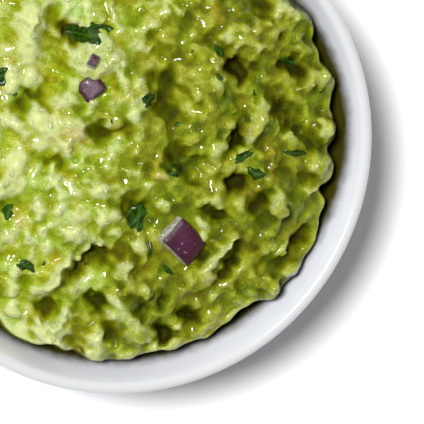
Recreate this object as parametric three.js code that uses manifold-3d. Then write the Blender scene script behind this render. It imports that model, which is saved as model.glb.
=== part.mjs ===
// Guacamole heaped in a small round porcelain bowl, with diced red onion and chopped herb leaves.
// Millimetres, +Z up. The origin is under the middle of the bowl's foot ring, and +Y points away
// from whoever sits at the bowl.
import * as THREE from 'three';
import { mergeVertices } from 'three/addons/utils/BufferGeometryUtils.js';
import Module from 'manifold-3d';

const wasm = await Module();
wasm.setup();

// ---------------------------------------------------------------- driving dimensions

const BOWL = {
  radius: 60, // outside of the rim
  height: 48,
  lip: 3.3, // thickness of the wall at the rim
  floor: 7, // height of the inside floor
  footRadius: 31,
  footWidth: 4,
  footHeight: 3.2,
  footEdge: 0.6, // chamfer of the foot ring
  sides: 60,
  wallSteps: 7,
  lipSteps: 4,
};
// The flaring wall: what its two curves bend towards, as radius and height, from the foot up to the
// lip outside and from the lip down to the floor inside.
const WALL = {
  outsideLow: [45, 4.5],
  outsideHigh: [53.3, 29],
  insideHigh: [49.5, 31],
  insideLow: [42, 7.6],
  floorRadius: 22,
};
const GAP = 0.3; // clearance between pieces that touch

const HEAP = {
  crown: 7.0, // above the rim
  brim: -3.6, // level near the wall, on average
  brimLean: 1.0, // the right of the heap stands this much higher near the wall, and the left lower
  brimHighest: 10, // azimuth where it is highest
  brimRadius: 54,
  power: 2.3,
  rings: 35,
  slabRadius: 58, // the relief is worked out this far, and the wall trims it
  slabBase: -2,
  slabTop: 69,
};

// The heap's side, which drops steeply into the gap beside the wall.
const SIDE = { radius: 51.7, drop: 10.5, inner: 0.8, outer: 1.3 };
// Bulges and notches of that side: middle and half spread in degrees round the bowl, and how far out.
const SIDE_TURNS = {
  eastBulge: [15, 2.6, 2.2],
  eastNotch: [-3.1, 1.8, -1.9],
  eastNotchLower: [-14, 1.8, -2.3],
  southEastBulge: [-35, 13, 0.9],
  wallCurd: [-46, 2.4, 1.2],
  southEastGap: [-56, 5, -1.6],
  southBulge: [-96, 7, 1.4],
  southWestNotch: [-110, 2.5, -1.2],
  southWestBulge: [-119, 6, 1.5],
  backBulge: [33, 8, 2.0],
  backNotch: [60, 6, -1.6],
  backGap: [90, 9, -3.4],
  backWestBulge: [122, 9, 1.4],
  westBulge: [152, 8, 1.2],
  westGap: [180, 10, -3.6],
  leftFrontNotch: [-146, 6, -2.0],
};

// Soft lumps in the left and the back of the heap, on a jittered triangular grid.
const LUMPS = {
  spacing: 6.2,
  jitter: 2.3,
  radius: [2.6, 4.6],
  rise: [0.7, 1.9],
  seed: 5912,
  leftOf: -30,
  behind: 35,
};

// Hollows and crests that stand out, each an oval: centre x, y, half length, half width, turn of
// its length in degrees, and depth or height.
const HOLLOWS = {
  leafHollow: [-12.7, 26.6, 3.4, 2.2, -45, 6.2],
  northWestValley: [-16, 21.5, 8.5, 3.6, 80, 5.0],
  westHollow: [-22.1, 12.5, 5.0, 2.6, 25, 4.2],
  spikeHollow: [-4.8, 4.8, 4.0, 3.0, 0, 6.5],
  westCrack: [-17.4, -2.9, 4.0, 1.8, -30, 3.8],
  farWestHollow: [-38, 6, 6.0, 3.0, 70, 5.0],
  farWestCrack: [-33, -15, 6.5, 2.4, 20, 4.2],
  backWestHollow: [-34, 29, 6.0, 3.2, -30, 5.2],
  northValleyUpper: [9.1, 13.1, 7.4, 3.2, 105, 5.8],
  northValleyLower: [13.4, -4.0, 6.4, 3.2, -55, 5.2],
  backHollow: [6, 37, 6.0, 2.8, 15, 4.8],
  leafPit: [1.8, -13.9, 3.4, 2.8, -20, 5.2],
  northEastPit: [26.3, 17.4, 3.8, 2.6, -25, 7.0],
  eastPit: [39.7, 17.2, 3.6, 1.8, -5, 4.2],
  spoonGroove: [38.9, 6.3, 10.7, 2.0, -50, 4.0],
  eastSlot: [25.6, 1.0, 3.8, 1.8, 65, 5.8],
  eastPitMiddle: [26.0, -9.4, 3.4, 2.3, -30, 6.5],
  eastPitLower: [31.1, -14.7, 3.0, 2.2, 60, 5.2],
  southEastPit: [20.9, -16.5, 3.2, 2.0, -30, 5.0],
  southWestPit: [-7.7, -26.4, 5.6, 2.7, 5, 7.0],
  southWestPitEnd: [-12.6, -29.0, 2.0, 2.8, 90, 5.2],
  southPit: [-6.8, -37.2, 5.0, 2.5, -60, 5.8],
  southWestDip: [-18.9, -38.0, 3.6, 2.0, -20, 5.0],
  southDip: [6.8, -37.2, 3.8, 1.8, 15, 4.2],
  southSlot: [15.3, -41.7, 3.0, 2.2, -45, 5.0],
  southHole: [9.0, -46.1, 2.4, 2.4, 0, 5.5],
  southEastSlot: [24.7, -29.0, 3.6, 1.8, 50, 5.5],
  southEastDip: [42.2, -24.3, 4.0, 1.9, 60, 3.5],
};
const CRESTS = {
  backEast: [40.0, 30.0, 5.6, 3.2, -30, 3.3],
  northEast: [29.9, 25.6, 7.4, 4.4, -10, 4.0],
  eastGrain: [44.5, 14.3, 2.8, 1.7, 40, 2.6],
  eastEdge: [49.0, 16.4, 3.4, 2.4, 60, 3.5],
  eastChain: [30.8, 5.4, 5.6, 2.4, 65, 4.0],
  eastNub: [48.6, 2.1, 2.6, 2.2, -40, 3.3],
  eastShoulder: [47.2, -5.5, 3.0, 2.4, -60, 3.3],
  eastBall: [44.9, -11.5, 1.9, 1.8, 0, 2.2],
  eastRidge: [36.4, -14.8, 4.4, 2.4, 85, 4.4],
  westSouthRidge: [-16.8, -30.2, 5.4, 2.1, 45, 4.4],
  southPeak: [-1.0, -29.9, 4.0, 2.5, -65, 4.0],
  southPoint: [4.4, -36.0, 3.2, 2.0, -60, 3.3],
  southBall: [-2.1, -38.8, 3.7, 3.4, 0, 4.0],
  southWedge: [2.8, -44.6, 5.0, 3.2, -35, 3.3],
  southWestHill: [-17.5, -45.1, 6.0, 4.0, 75, 4.0],
  southHill: [-7.3, -48.0, 4.0, 2.6, -70, 3.5],
  southSmooth: [-0.5, -49.6, 3.8, 2.8, -20, 2.0],
  southEdge: [10.4, -49.0, 3.2, 2.4, 0, 2.4],
  southEastBar: [23.6, -23.3, 3.4, 1.5, 45, 3.3],
  southEastHill: [18.9, -30.4, 5.4, 2.4, 40, 2.6],
  wallCurd: [35.6, -35.6, 2.8, 1.7, -65, 3.7],
  wallCrumbs: [40.0, -31.4, 2.2, 1.5, 30, 3.3],
  northWestRidge: [-22.2, 29.6, 6.8, 3.4, 75, 3.1],
  northHill: [-6.4, 21.4, 5.8, 4.2, 0, 3.5],
  northShoulder: [1.3, 12.0, 5.4, 4.2, 70, 2.4],
  crown: [-12.0, -12.1, 9.5, 6.2, 20, 1.5],
  westHill: [-14.8, 5.2, 5.8, 3.4, 0, 1.3],
  northEastHill: [18.6, 17.2, 5.0, 4.2, -45, 3.1],
  middleRise: [19.0, 6.3, 4.8, 4.4, 90, 2.0],
  spike: [-4.6, 6.4, 1.5, 2.6, 90, 3.7],
  farWestHill: [-42, -8, 6.5, 4.0, 80, 3.7],
  backWestHill: [-26, 40, 6.0, 3.6, 35, 3.3],
  farWestRidge: [-46, 14, 5.0, 2.8, 100, 3.3],
  leftFrontHill: [-36, -30, 6.5, 4.0, -40, 4.0],
  backRidge: [10, 45, 6.5, 3.2, -10, 3.3],
  backHill: [-6, 46, 4.5, 3.4, 30, 3.1],
};

// Round curds with a crease round each, in the same six numbers.
const CURDS = [
  [-23, 31, 5.5, 3.0, 75, 1.6],
  [-27.2, 6.8, 2.6, 2.4, 0, 1.6],
  [-16, 12.5, 4.2, 2.9, -20, 2.2],
  [-21.5, 8.4, 3.4, 2.6, 105, 1.9],
  [-9.0, 24.6, 2.6, 2.0, 0, 1.3],
  [9.5, 26.0, 3.0, 2.2, 30, 1.4],
  [18.0, 22.4, 2.6, 2.2, 0, 1.3],
  [17.0, 28.0, 4.4, 2.6, 33, 1.5],
  [1.6, 5.8, 3.4, 2.8, 100, 1.7],
  [37.4, 31.4, 3.1, 2.5, 0, 2.0],
  [48.6, 16.8, 2.8, 2.4, 60, 1.6],
  [32.6, 7.0, 3.2, 2.3, -45, 1.7],
  [47.2, -5.3, 2.9, 2.6, 90, 1.7],
  [-26.2, -4.0, 4.4, 3.0, 80, 1.7],
  [-28.0, -9.6, 2.4, 2.0, 30, 1.2],
  [-18.0, -7.4, 2.4, 2.2, 60, 1.8],
  [-7.0, -10.2, 3.2, 2.0, -15, 1.2],
  [-5.4, -16.2, 3.2, 2.8, 90, 1.7],
  [-13.4, -19.9, 4.2, 1.9, -8, 1.5],
  [-28.0, -19.5, 2.4, 2.0, 0, 1.2],
  [-7.2, -45.3, 2.3, 1.9, 60, 1.6],
  [-3.6, -38.3, 3.0, 2.6, 90, 1.9],
  [-1.3, -29.4, 3.3, 2.1, 78, 1.9],
  [7.5, -32.2, 2.9, 2.1, 60, 1.3],
  [2.6, -44.4, 4.2, 3.0, -42, 1.9],
  [18.5, -43.6, 3.5, 2.6, 80, 1.9],
  [18.8, -28.6, 2.7, 2.1, 60, 1.7],
  [26.6, -37.4, 2.7, 2.2, 0, 1.3],
  [33.0, -25.4, 3.2, 1.9, 20, 1.3],
];
// Steep pits between the curds, in the same six numbers.
const PITS = [
  [-12.6, 27.0, 2.9, 1.3, -58, 3.0],
  [-7.2, 28.9, 4.4, 1.4, -4, 2.8],
  [-8.0, 5.5, 2.0, 1.6, 30, 3.4],
  [26.9, 18.2, 2.8, 1.9, -30, 3.6],
  [31.4, -14.6, 3.0, 1.8, 15, 2.6],
  [25.4, -8.6, 2.7, 2.0, -20, 3.6],
  [-7.6, -24.9, 5.4, 1.6, 3, 3.6],
  [9.6, -44.0, 2.4, 1.3, 0, 3.0],
  [14.8, -41.4, 2.0, 1.7, -30, 3.2],
];
// How the ovals rise: hollows and crests fade past their edges, and curds and pits end at theirs.
const RELIEF = { fadeRate: 0.75, fadePower: 1.25, curdPower: 0.5, pitPower: 0.7 };

// Red onion: centre x, y, height of the middle above the mash's own level, length, width, thickness,
// turn in degrees, tilt in degrees and the way it leans.
const ONIONS = {
  onion_1: [12.4, -22.2, -0.6, 9.2, 7.0, 5.6, -47, 13, -20],
  onion_2: [-8.4, 14.0, -0.7, 7.4, 6.0, 4.4, 38, 16, 150],
  onion_3: [-8.6, 20.8, 0.1, 3.6, 2.6, 2.2, 20, 10, 90],
  onion_4: [-37.0, -4.0, -0.4, 8.4, 6.8, 5.0, 25, 12, 170],
};
const ONION_SHAPE = { curve: 0.5, taper: 0.12, cells: [3, 2, 2] };

// Herb leaves: centre x, y, length, width, turn in degrees, height of the wave.
const LEAVES = {
  leaf_01: [-8.6, 27.6, 11.0, 4.4, 4, 0.8],
  leaf_02: [21.6, 22.2, 4.2, 2.8, -50, 0.4],
  leaf_03: [40.4, -2.6, 7.0, 1.9, -6, 0.3],
  leaf_04: [27.6, -2.8, 5.6, 2.6, 35, 0.5],
  leaf_05: [30.6, -6.6, 5.4, 3.0, -25, 0.5],
  leaf_06: [2.4, -17.0, 7.4, 5.0, 75, 0.7],
  leaf_07: [-27.8, -14.8, 4.8, 2.8, 70, 0.4],
  leaf_08: [4.4, 11.4, 4.4, 3.6, 50, 0.5],
  leaf_09: [39.0, 18.6, 6.0, 2.4, -15, 0.5],
  leaf_10: [9.6, -29.2, 4.6, 1.6, -50, 0.3],
  leaf_11: [5.0, -24.0, 4.6, 1.4, 95, 0.3],
  leaf_12: [11.0, -5.6, 4.4, 3.2, 15, 0.4],
  leaf_13: [-31.0, 17.0, 8.0, 4.2, 35, 0.7],
  leaf_14: [-24.0, -28.0, 5.6, 3.2, -20, 0.5],
  leaf_15: [-44.0, -20.0, 6.4, 3.4, 60, 0.6],
};
const LEAF = {
  thickness: 0.45,
  tip: 0.35, // half width at the ends
  drape: 0.55, // how closely it follows the mash under it: 0 is flat
  lift: 0.3,
  step: 0.15,
  cellsLong: 6,
  cellsWide: 2,
  lobes: 5, // notches along each edge, and their depth
  lobeDepth: 0.22,
  rippleLong: 7, // radians of the wave along and across it
  rippleAcross: 2,
  fullness: 0.7,
};

const radians = THREE.MathUtils.degToRad;

// ---------------------------------------------------------------- materials

const matter = (color, roughness) => new THREE.MeshStandardMaterial({ color, roughness, metalness: 0 });
const glaze = matter(0xf2f2f4, 0.15);
const mash = matter(0xa9b44a, 0.4);
const onionSkin = matter(0x6a2a52, 0.25);
const herb = matter(0x2f5a1e, 0.4);

// ---------------------------------------------------------------- solids

// A closed mesh of the geometry: shared corners merged, and faces that shrank to a line left out.
function closed(geometry) {
  const bare = geometry.clone();
  bare.deleteAttribute('normal');
  bare.deleteAttribute('uv');
  const merged = mergeVertices(bare, 1e-3);
  const corners = merged.index.array;
  const kept = [];
  for (let i = 0; i < corners.length; i += 3) {
    const [a, b, c] = [corners[i], corners[i + 1], corners[i + 2]];
    if (a !== b && b !== c && c !== a) kept.push(a, b, c);
  }
  merged.setIndex(kept);
  return merged;
}

function toSolid(geometry) {
  const { index, attributes } = closed(geometry);
  return new wasm.Manifold(new wasm.Mesh({
    numProp: 3,
    vertProperties: Float32Array.from(attributes.position.array),
    triVerts: Uint32Array.from(index.array),
  }));
}

function toGeometry(solid) {
  const { vertProperties, triVerts } = solid.getMesh();
  const geometry = new THREE.BufferGeometry();
  geometry.setAttribute('position', new THREE.BufferAttribute(vertProperties, 3));
  geometry.setIndex(Array.from(triVerts));
  return geometry;
}

// A profile of radius and height, turned about the bowl's upright axis.
function lathe(profile) {
  const geometry = new THREE.LatheGeometry(profile, BOWL.sides);
  geometry.rotateX(Math.PI / 2);
  return geometry;
}

// ---------------------------------------------------------------- bowl

const lipCentre = BOWL.radius - BOWL.lip / 2;
const lipBase = BOWL.height - BOWL.lip / 2;

// The inside of the wall, from the lip down to the floor.
function insideCurve(inset) {
  const [highRadius, highHeight] = WALL.insideHigh;
  const [lowRadius, lowHeight] = WALL.insideLow;
  return new THREE.CubicBezierCurve(
    new THREE.Vector2(BOWL.radius - BOWL.lip - inset, lipBase),
    new THREE.Vector2(highRadius - inset, highHeight),
    new THREE.Vector2(lowRadius - inset, lowHeight + inset),
    new THREE.Vector2(WALL.floorRadius, BOWL.floor + inset),
  );
}

function bowlGeometry() {
  const { footRadius, footWidth, footHeight, footEdge: edge } = BOWL;
  const outside = new THREE.Path();
  outside.moveTo(0, footHeight);
  outside.lineTo(footRadius - footWidth, footHeight);
  outside.lineTo(footRadius - footWidth, edge);
  outside.lineTo(footRadius - footWidth + edge, 0);
  outside.lineTo(footRadius - edge, 0);
  outside.lineTo(footRadius, edge);
  outside.lineTo(footRadius, footHeight);
  const belly = new THREE.CubicBezierCurve(
    new THREE.Vector2(footRadius, footHeight),
    new THREE.Vector2(...WALL.outsideLow),
    new THREE.Vector2(...WALL.outsideHigh),
    new THREE.Vector2(BOWL.radius, lipBase),
  );
  const lip = new THREE.EllipseCurve(lipCentre, lipBase, BOWL.lip / 2, BOWL.lip / 2, 0, Math.PI);
  const profile = [
    ...outside.getPoints(1),
    ...belly.getPoints(BOWL.wallSteps).slice(1),
    ...lip.getPoints(BOWL.lipSteps).slice(1),
    ...insideCurve(0).getPoints(BOWL.wallSteps).slice(1),
    new THREE.Vector2(0, BOWL.floor),
  ];
  return lathe(profile);
}

// The space inside the wall, less a small gap, up past the top of the heap.
function hollowSolid() {
  const top = HEAP.slabTop;
  const wall = insideCurve(GAP).getPoints(BOWL.wallSteps + 1).reverse();
  const profile = [
    new THREE.Vector2(0, BOWL.floor + GAP),
    ...wall,
    new THREE.Vector2(wall.at(-1).x, top),
    new THREE.Vector2(0, top),
  ];
  return toSolid(lathe(profile));
}

// ---------------------------------------------------------------- relief of the heap

// A repeatable draw between 0 and 1 for whole numbers i and j.
function draw(i, j, stream) {
  const value = Math.sin(i * 127.1 + j * 311.7 + stream * 74.7 + LUMPS.seed) * 43758.5453;
  return value - Math.floor(value);
}

// How far inside an oval a point is: 1 in its middle, 0 at its edge and less beyond it.
function ovalReach([centreX, centreY, halfLength, halfWidth, turn], x, y) {
  const angle = radians(turn);
  const along = ((x - centreX) * Math.cos(angle) + (y - centreY) * Math.sin(angle)) / halfLength;
  const across = (-(x - centreX) * Math.sin(angle) + (y - centreY) * Math.cos(angle)) / halfWidth;
  return 1 - along ** 2 - across ** 2;
}

// Sum of ovals that fade past their edges.
function fading(ovals, x, y) {
  let total = 0;
  for (const oval of Object.values(ovals)) {
    total += oval[5] * Math.exp(-RELIEF.fadeRate * (1 - ovalReach(oval, x, y)) ** RELIEF.fadePower);
  }
  return total;
}

// The highest of the domes over a point.
function domed(ovals, power, x, y) {
  return Math.max(...ovals.map((oval) => oval[5] * Math.max(0, ovalReach(oval, x, y)) ** power));
}

function lumpHeight(x, y) {
  const rowHeight = LUMPS.spacing * Math.sqrt(0.75);
  const row = Math.round(y / rowHeight);
  let highest = 0;
  for (let j = row - 2; j <= row + 2; j++) {
    const shift = j % 2 ? 0.5 : 0;
    const column = Math.round(x / LUMPS.spacing - shift);
    for (let i = column - 2; i <= column + 2; i++) {
      const centreX = (i + shift) * LUMPS.spacing + (draw(i, j, 1) - 0.5) * 2 * LUMPS.jitter;
      const centreY = j * rowHeight + (draw(i, j, 2) - 0.5) * 2 * LUMPS.jitter;
      const radius = THREE.MathUtils.lerp(...LUMPS.radius, draw(i, j, 3));
      const rise = THREE.MathUtils.lerp(...LUMPS.rise, draw(i, j, 4));
      if (centreX > LUMPS.leftOf && centreY < LUMPS.behind) continue;
      const lump = [centreX, centreY, radius, radius, 0, rise];
      highest = Math.max(highest, domed([lump], RELIEF.curdPower, x, y));
    }
  }
  return highest;
}

// How far the heap's side has dropped at a point.
function sideDrop(x, y) {
  const azimuth = THREE.MathUtils.radToDeg(Math.atan2(y, x));
  let edge = SIDE.radius;
  for (const [middle, spread, out] of Object.values(SIDE_TURNS)) {
    const turn = ((azimuth - middle + 540) % 360) - 180;
    edge += out * Math.exp(-((turn / spread) ** 2));
  }
  return SIDE.drop * THREE.MathUtils.smoothstep(Math.hypot(x, y), edge - SIDE.inner, edge + SIDE.outer);
}

function surface(x, y) {
  const lean = Math.cos(Math.atan2(y, x) - radians(HEAP.brimHighest));
  const brim = HEAP.brim + HEAP.brimLean * lean;
  const fall = (HEAP.crown - brim) * (Math.hypot(x, y) / HEAP.brimRadius) ** HEAP.power;
  const curds = Math.max(lumpHeight(x, y), domed(CURDS, RELIEF.curdPower, x, y));
  const pits = domed(PITS, RELIEF.pitPower, x, y);
  const swells = fading(CRESTS, x, y) - fading(HOLLOWS, x, y);
  return BOWL.height + HEAP.crown - fall + swells + curds - pits - sideDrop(x, y);
}

// A disk of even triangles carries the relief, and a skirt and a flat base close it.
function reliefSolid() {
  const { rings, slabRadius, slabBase } = HEAP;
  const points = [];
  const triangles = [];
  const first = (ring) => (ring === 0 ? 0 : 1 + 3 * ring * (ring - 1));
  const at = (ring, place) => (ring === 0 ? 0 : first(ring) + (place % (6 * ring)));
  const place = (ring, i) => {
    const angle = (2 * Math.PI * i) / (6 * ring || 1);
    const radius = (slabRadius * ring) / rings;
    return [radius * Math.cos(angle), radius * Math.sin(angle)];
  };
  for (let ring = 0; ring <= rings; ring++) {
    for (let i = 0; i < Math.max(1, 6 * ring); i++) {
      const [x, y] = place(ring, i);
      points.push(x, y, surface(x, y));
    }
  }
  for (let ring = 1; ring <= rings; ring++) {
    for (let sector = 0; sector < 6; sector++) {
      for (let i = 0; i < ring; i++) {
        const outer = sector * ring + i;
        const inner = sector * (ring - 1) + i;
        triangles.push(at(ring, outer), at(ring, outer + 1), at(ring - 1, inner));
        if (i < ring - 1) triangles.push(at(ring, outer + 1), at(ring - 1, inner + 1), at(ring - 1, inner));
      }
    }
  }
  const rimStart = points.length / 3;
  for (let i = 0; i < 6 * rings; i++) points.push(...place(rings, i), slabBase);
  const middle = points.length / 3;
  points.push(0, 0, slabBase);
  for (let i = 0; i < 6 * rings; i++) {
    const next = (i + 1) % (6 * rings);
    const [low, lowNext] = [rimStart + i, rimStart + next];
    triangles.push(low, lowNext, at(rings, i), lowNext, at(rings, next), at(rings, i), middle, lowNext, low);
  }
  const geometry = new THREE.BufferGeometry();
  geometry.setAttribute('position', new THREE.Float32BufferAttribute(points, 3));
  geometry.setIndex(triangles);
  return toSolid(geometry);
}

// ---------------------------------------------------------------- onion dice

// A dice of one onion layer: bowed like the onion, and a little narrower underneath.
function onionGeometry([x, y, above, length, width, thickness, turn, tilt, lean], margin) {
  const geometry = new THREE.BoxGeometry(
    length + 2 * margin, width + 2 * margin, thickness + 2 * margin, ...ONION_SHAPE.cells,
  );
  const position = geometry.attributes.position;
  for (let i = 0; i < position.count; i++) {
    const [px, py, pz] = [position.getX(i), position.getY(i), position.getZ(i)];
    const narrow = 1 + ONION_SHAPE.taper * (pz / thickness - 0.5);
    const sag = ONION_SHAPE.curve * (2 * px / length) ** 2;
    position.setXYZ(i, px * narrow, py * narrow, pz - sag);
  }
  const axis = new THREE.Vector3(-Math.sin(radians(lean)), Math.cos(radians(lean)), 0);
  const leaning = new THREE.Quaternion().setFromAxisAngle(axis, radians(tilt));
  geometry.rotateZ(radians(turn));
  geometry.applyQuaternion(leaning);
  geometry.translate(x, y, surface(x, y) + above);
  return geometry;
}

// ---------------------------------------------------------------- herb leaves

// A thin wavy sheet over the mash: both faces take the same grid and the same diagonals.
function leafGeometry([centreX, centreY, length, width, turn, wave], lift) {
  const { cellsLong, cellsWide, thickness, tip } = LEAF;
  const angle = radians(turn);
  const middle = surface(centreX, centreY);
  const points = [];
  const triangles = [];
  const at = (side, i, j) => (side * (cellsLong + 1) + i) * (cellsWide + 1) + j;
  for (let side = 0; side < 2; side++) {
    for (let i = 0; i <= cellsLong; i++) {
      for (let j = 0; j <= cellsWide; j++) {
        const [along, across] = [i / cellsLong, (2 * j) / cellsWide - 1];
        const lobes = 1 + LEAF.lobeDepth * Math.sin(LEAF.lobes * Math.PI * along + across);
        const half = tip + (width / 2 - tip) * Math.sin(Math.PI * along) ** LEAF.fullness * lobes;
        const u = (along - 0.5) * length;
        const v = across * half;
        const x = centreX + u * Math.cos(angle) - v * Math.sin(angle);
        const y = centreY + u * Math.sin(angle) + v * Math.cos(angle);
        const phase = LEAF.rippleLong * along + LEAF.rippleAcross * across;
        const ripple = wave * (0.5 + 0.5 * Math.sin(phase));
        const ground = THREE.MathUtils.lerp(middle, surface(x, y), LEAF.drape);
        points.push(x, y, ground + lift + ripple + side * thickness);
      }
    }
  }
  const quad = (a, b, c, d) => triangles.push(a, b, c, a, c, d);
  for (let i = 0; i < cellsLong; i++) {
    for (let j = 0; j < cellsWide; j++) {
      quad(at(1, i, j), at(1, i + 1, j), at(1, i + 1, j + 1), at(1, i, j + 1));
      triangles.push(at(0, i, j), at(0, i + 1, j + 1), at(0, i + 1, j));
      triangles.push(at(0, i, j), at(0, i, j + 1), at(0, i + 1, j + 1));
    }
    quad(at(0, i, 0), at(0, i + 1, 0), at(1, i + 1, 0), at(1, i, 0));
    quad(at(0, i + 1, cellsWide), at(0, i, cellsWide), at(1, i, cellsWide), at(1, i + 1, cellsWide));
  }
  for (let j = 0; j < cellsWide; j++) {
    quad(at(0, 0, j + 1), at(0, 0, j), at(1, 0, j), at(1, 0, j + 1));
    quad(at(0, cellsLong, j), at(0, cellsLong, j + 1), at(1, cellsLong, j + 1), at(1, cellsLong, j));
  }
  const geometry = new THREE.BufferGeometry();
  geometry.setAttribute('position', new THREE.Float32BufferAttribute(points, 3));
  geometry.setIndex(triangles);
  return geometry;
}

// The lowest place over the mash where the leaf, lowered by the gap, still clears what lies below.
function restingLeaf(values, below) {
  let lift = LEAF.lift;
  while (toSolid(leafGeometry(values, lift - GAP)).intersect(below).volume() > 0) lift += LEAF.step;
  return leafGeometry(values, lift);
}

// ---------------------------------------------------------------- assembly

const part = new THREE.Group();

function addPiece(name, geometry, material) {
  geometry.computeVertexNormals();
  const piece = new THREE.Mesh(geometry, material);
  piece.name = name;
  part.add(piece);
}

addPiece('bowl', bowlGeometry(), glaze);

let heap = reliefSolid().intersect(hollowSolid());
let dice = null;
for (const [name, values] of Object.entries(ONIONS)) {
  heap = heap.subtract(toSolid(onionGeometry(values, GAP)));
  const geometry = onionGeometry(values, 0);
  addPiece(name, geometry, onionSkin);
  dice = dice ? dice.add(toSolid(geometry)) : toSolid(geometry);
}
addPiece('guacamole', toGeometry(heap), mash);

const below = heap.add(dice);
for (const [name, values] of Object.entries(LEAVES)) {
  addPiece(name, restingLeaf(values, below), herb);
}

export default part;
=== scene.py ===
"""Guacamole heaped in a small porcelain bowl, with diced red onion and chopped herb leaves."""

import math

import bmesh
import bpy
import numpy as np
from bpy.props import FloatProperty, FloatVectorProperty, IntProperty, PointerProperty
from mathutils import Matrix, Vector
from mathutils.bvhtree import BVHTree


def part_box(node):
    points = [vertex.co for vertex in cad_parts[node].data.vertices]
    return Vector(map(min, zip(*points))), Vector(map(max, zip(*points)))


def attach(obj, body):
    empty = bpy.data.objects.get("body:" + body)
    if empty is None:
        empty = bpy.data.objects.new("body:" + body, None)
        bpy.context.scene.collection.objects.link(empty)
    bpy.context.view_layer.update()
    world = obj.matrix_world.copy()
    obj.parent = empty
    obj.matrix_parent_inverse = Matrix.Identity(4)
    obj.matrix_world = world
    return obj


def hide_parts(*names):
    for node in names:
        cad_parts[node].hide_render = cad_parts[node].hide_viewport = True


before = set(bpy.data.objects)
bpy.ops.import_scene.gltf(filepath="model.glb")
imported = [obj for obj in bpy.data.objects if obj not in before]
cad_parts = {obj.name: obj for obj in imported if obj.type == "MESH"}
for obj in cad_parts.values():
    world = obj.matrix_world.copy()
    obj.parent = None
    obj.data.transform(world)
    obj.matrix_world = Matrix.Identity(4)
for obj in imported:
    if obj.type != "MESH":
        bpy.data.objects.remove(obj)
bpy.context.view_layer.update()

bl_info = {
    "name": "Guacamole Bowl",
    "version": (1, 0, 0),
    "blender": (4, 5, 0),
    "location": "3D View > Sidebar > Guacamole",
    "description": "Makes a bowl of guacamole with diced red onion and chopped herb leaves",
    "category": "Add Mesh",
}

MM = 0.001
BODY = "root"

# ---------------------------------------------------------------- sizes, in millimetres

RIM_RADIUS = 60.0
RIM_HEIGHT = 48.0
LIP = 3.3
FLOOR = 7.0
FLOOR_RADIUS = 22.0
FOOT_RADIUS = 31.0
FOOT_WIDTH = 4.0
FOOT_HEIGHT = 3.2
LIP_BASE = RIM_HEIGHT - LIP / 2
LIP_FLATNESS = 0.75  # 1 would round the lip's outer edge in a plain arc
LIP_TURN = 155  # how far round the lip's edge goes, in degrees
LIP_ROWS = 15
# What the wall's curves are pulled towards between their ends, as radius and height: outside on
# its way up, inside on its way down.
BELLY_PULLS = [(45, 4.5), (53.3, 29)]
WALL_PULLS = [(49.5, 31), (42, FLOOR + 0.6)]
WALL_ROWS = 34

# Hollows and crests of the heap, each an oval: x, y, half length, half width, turn of its length in
# degrees, and depth or height. They fade past their edges.
HOLLOWS = [
    (-12.7, 26.6, 3.4, 2.2, -45, 6.2),
    (-16, 21.5, 8.5, 3.6, 80, 5.0),
    (-22.1, 12.5, 5.0, 2.6, 25, 4.2),
    (-4.8, 4.8, 4.0, 3.0, 0, 6.5),
    (-17.4, -2.9, 4.0, 1.8, -30, 3.8),
    (-38, 6, 6.0, 3.0, 70, 5.0),
    (-33, -15, 6.5, 2.4, 20, 4.2),
    (-34, 29, 6.0, 3.2, -30, 5.2),
    (9.1, 13.1, 7.4, 3.2, 105, 5.8),
    (13.4, -4.0, 6.4, 3.2, -55, 5.2),
    (6, 37, 6.0, 2.8, 15, 4.8),
    (1.8, -13.9, 3.4, 2.8, -20, 5.2),
    (26.3, 17.4, 3.8, 2.6, -25, 7.0),
    (39.7, 17.2, 3.6, 1.8, -5, 4.2),
    (38.9, 6.3, 10.7, 2.0, -50, 4.0),
    (25.6, 1.0, 3.8, 1.8, 65, 5.8),
    (26.0, -9.4, 3.4, 2.3, -30, 6.5),
    (31.1, -14.7, 2.6, 1.8, 60, 3.2),
    (20.9, -16.5, 3.0, 1.6, -30, 3.6),
    (-7.7, -26.4, 5.6, 2.7, 5, 7.0),
    (-12.6, -29.0, 2.0, 2.8, 90, 5.2),
    (-6.8, -37.2, 5.0, 2.5, -60, 5.8),
    (-18.9, -38.0, 3.6, 2.0, -20, 5.0),
    (6.8, -37.2, 3.8, 1.8, 15, 4.2),
    (15.3, -41.7, 3.0, 2.2, -45, 5.0),
    (9.0, -46.1, 2.4, 2.4, 0, 5.5),
    (24.7, -29.0, 3.6, 1.8, 50, 5.5),
    (42.2, -24.3, 4.0, 1.9, 60, 3.5),
]
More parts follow.
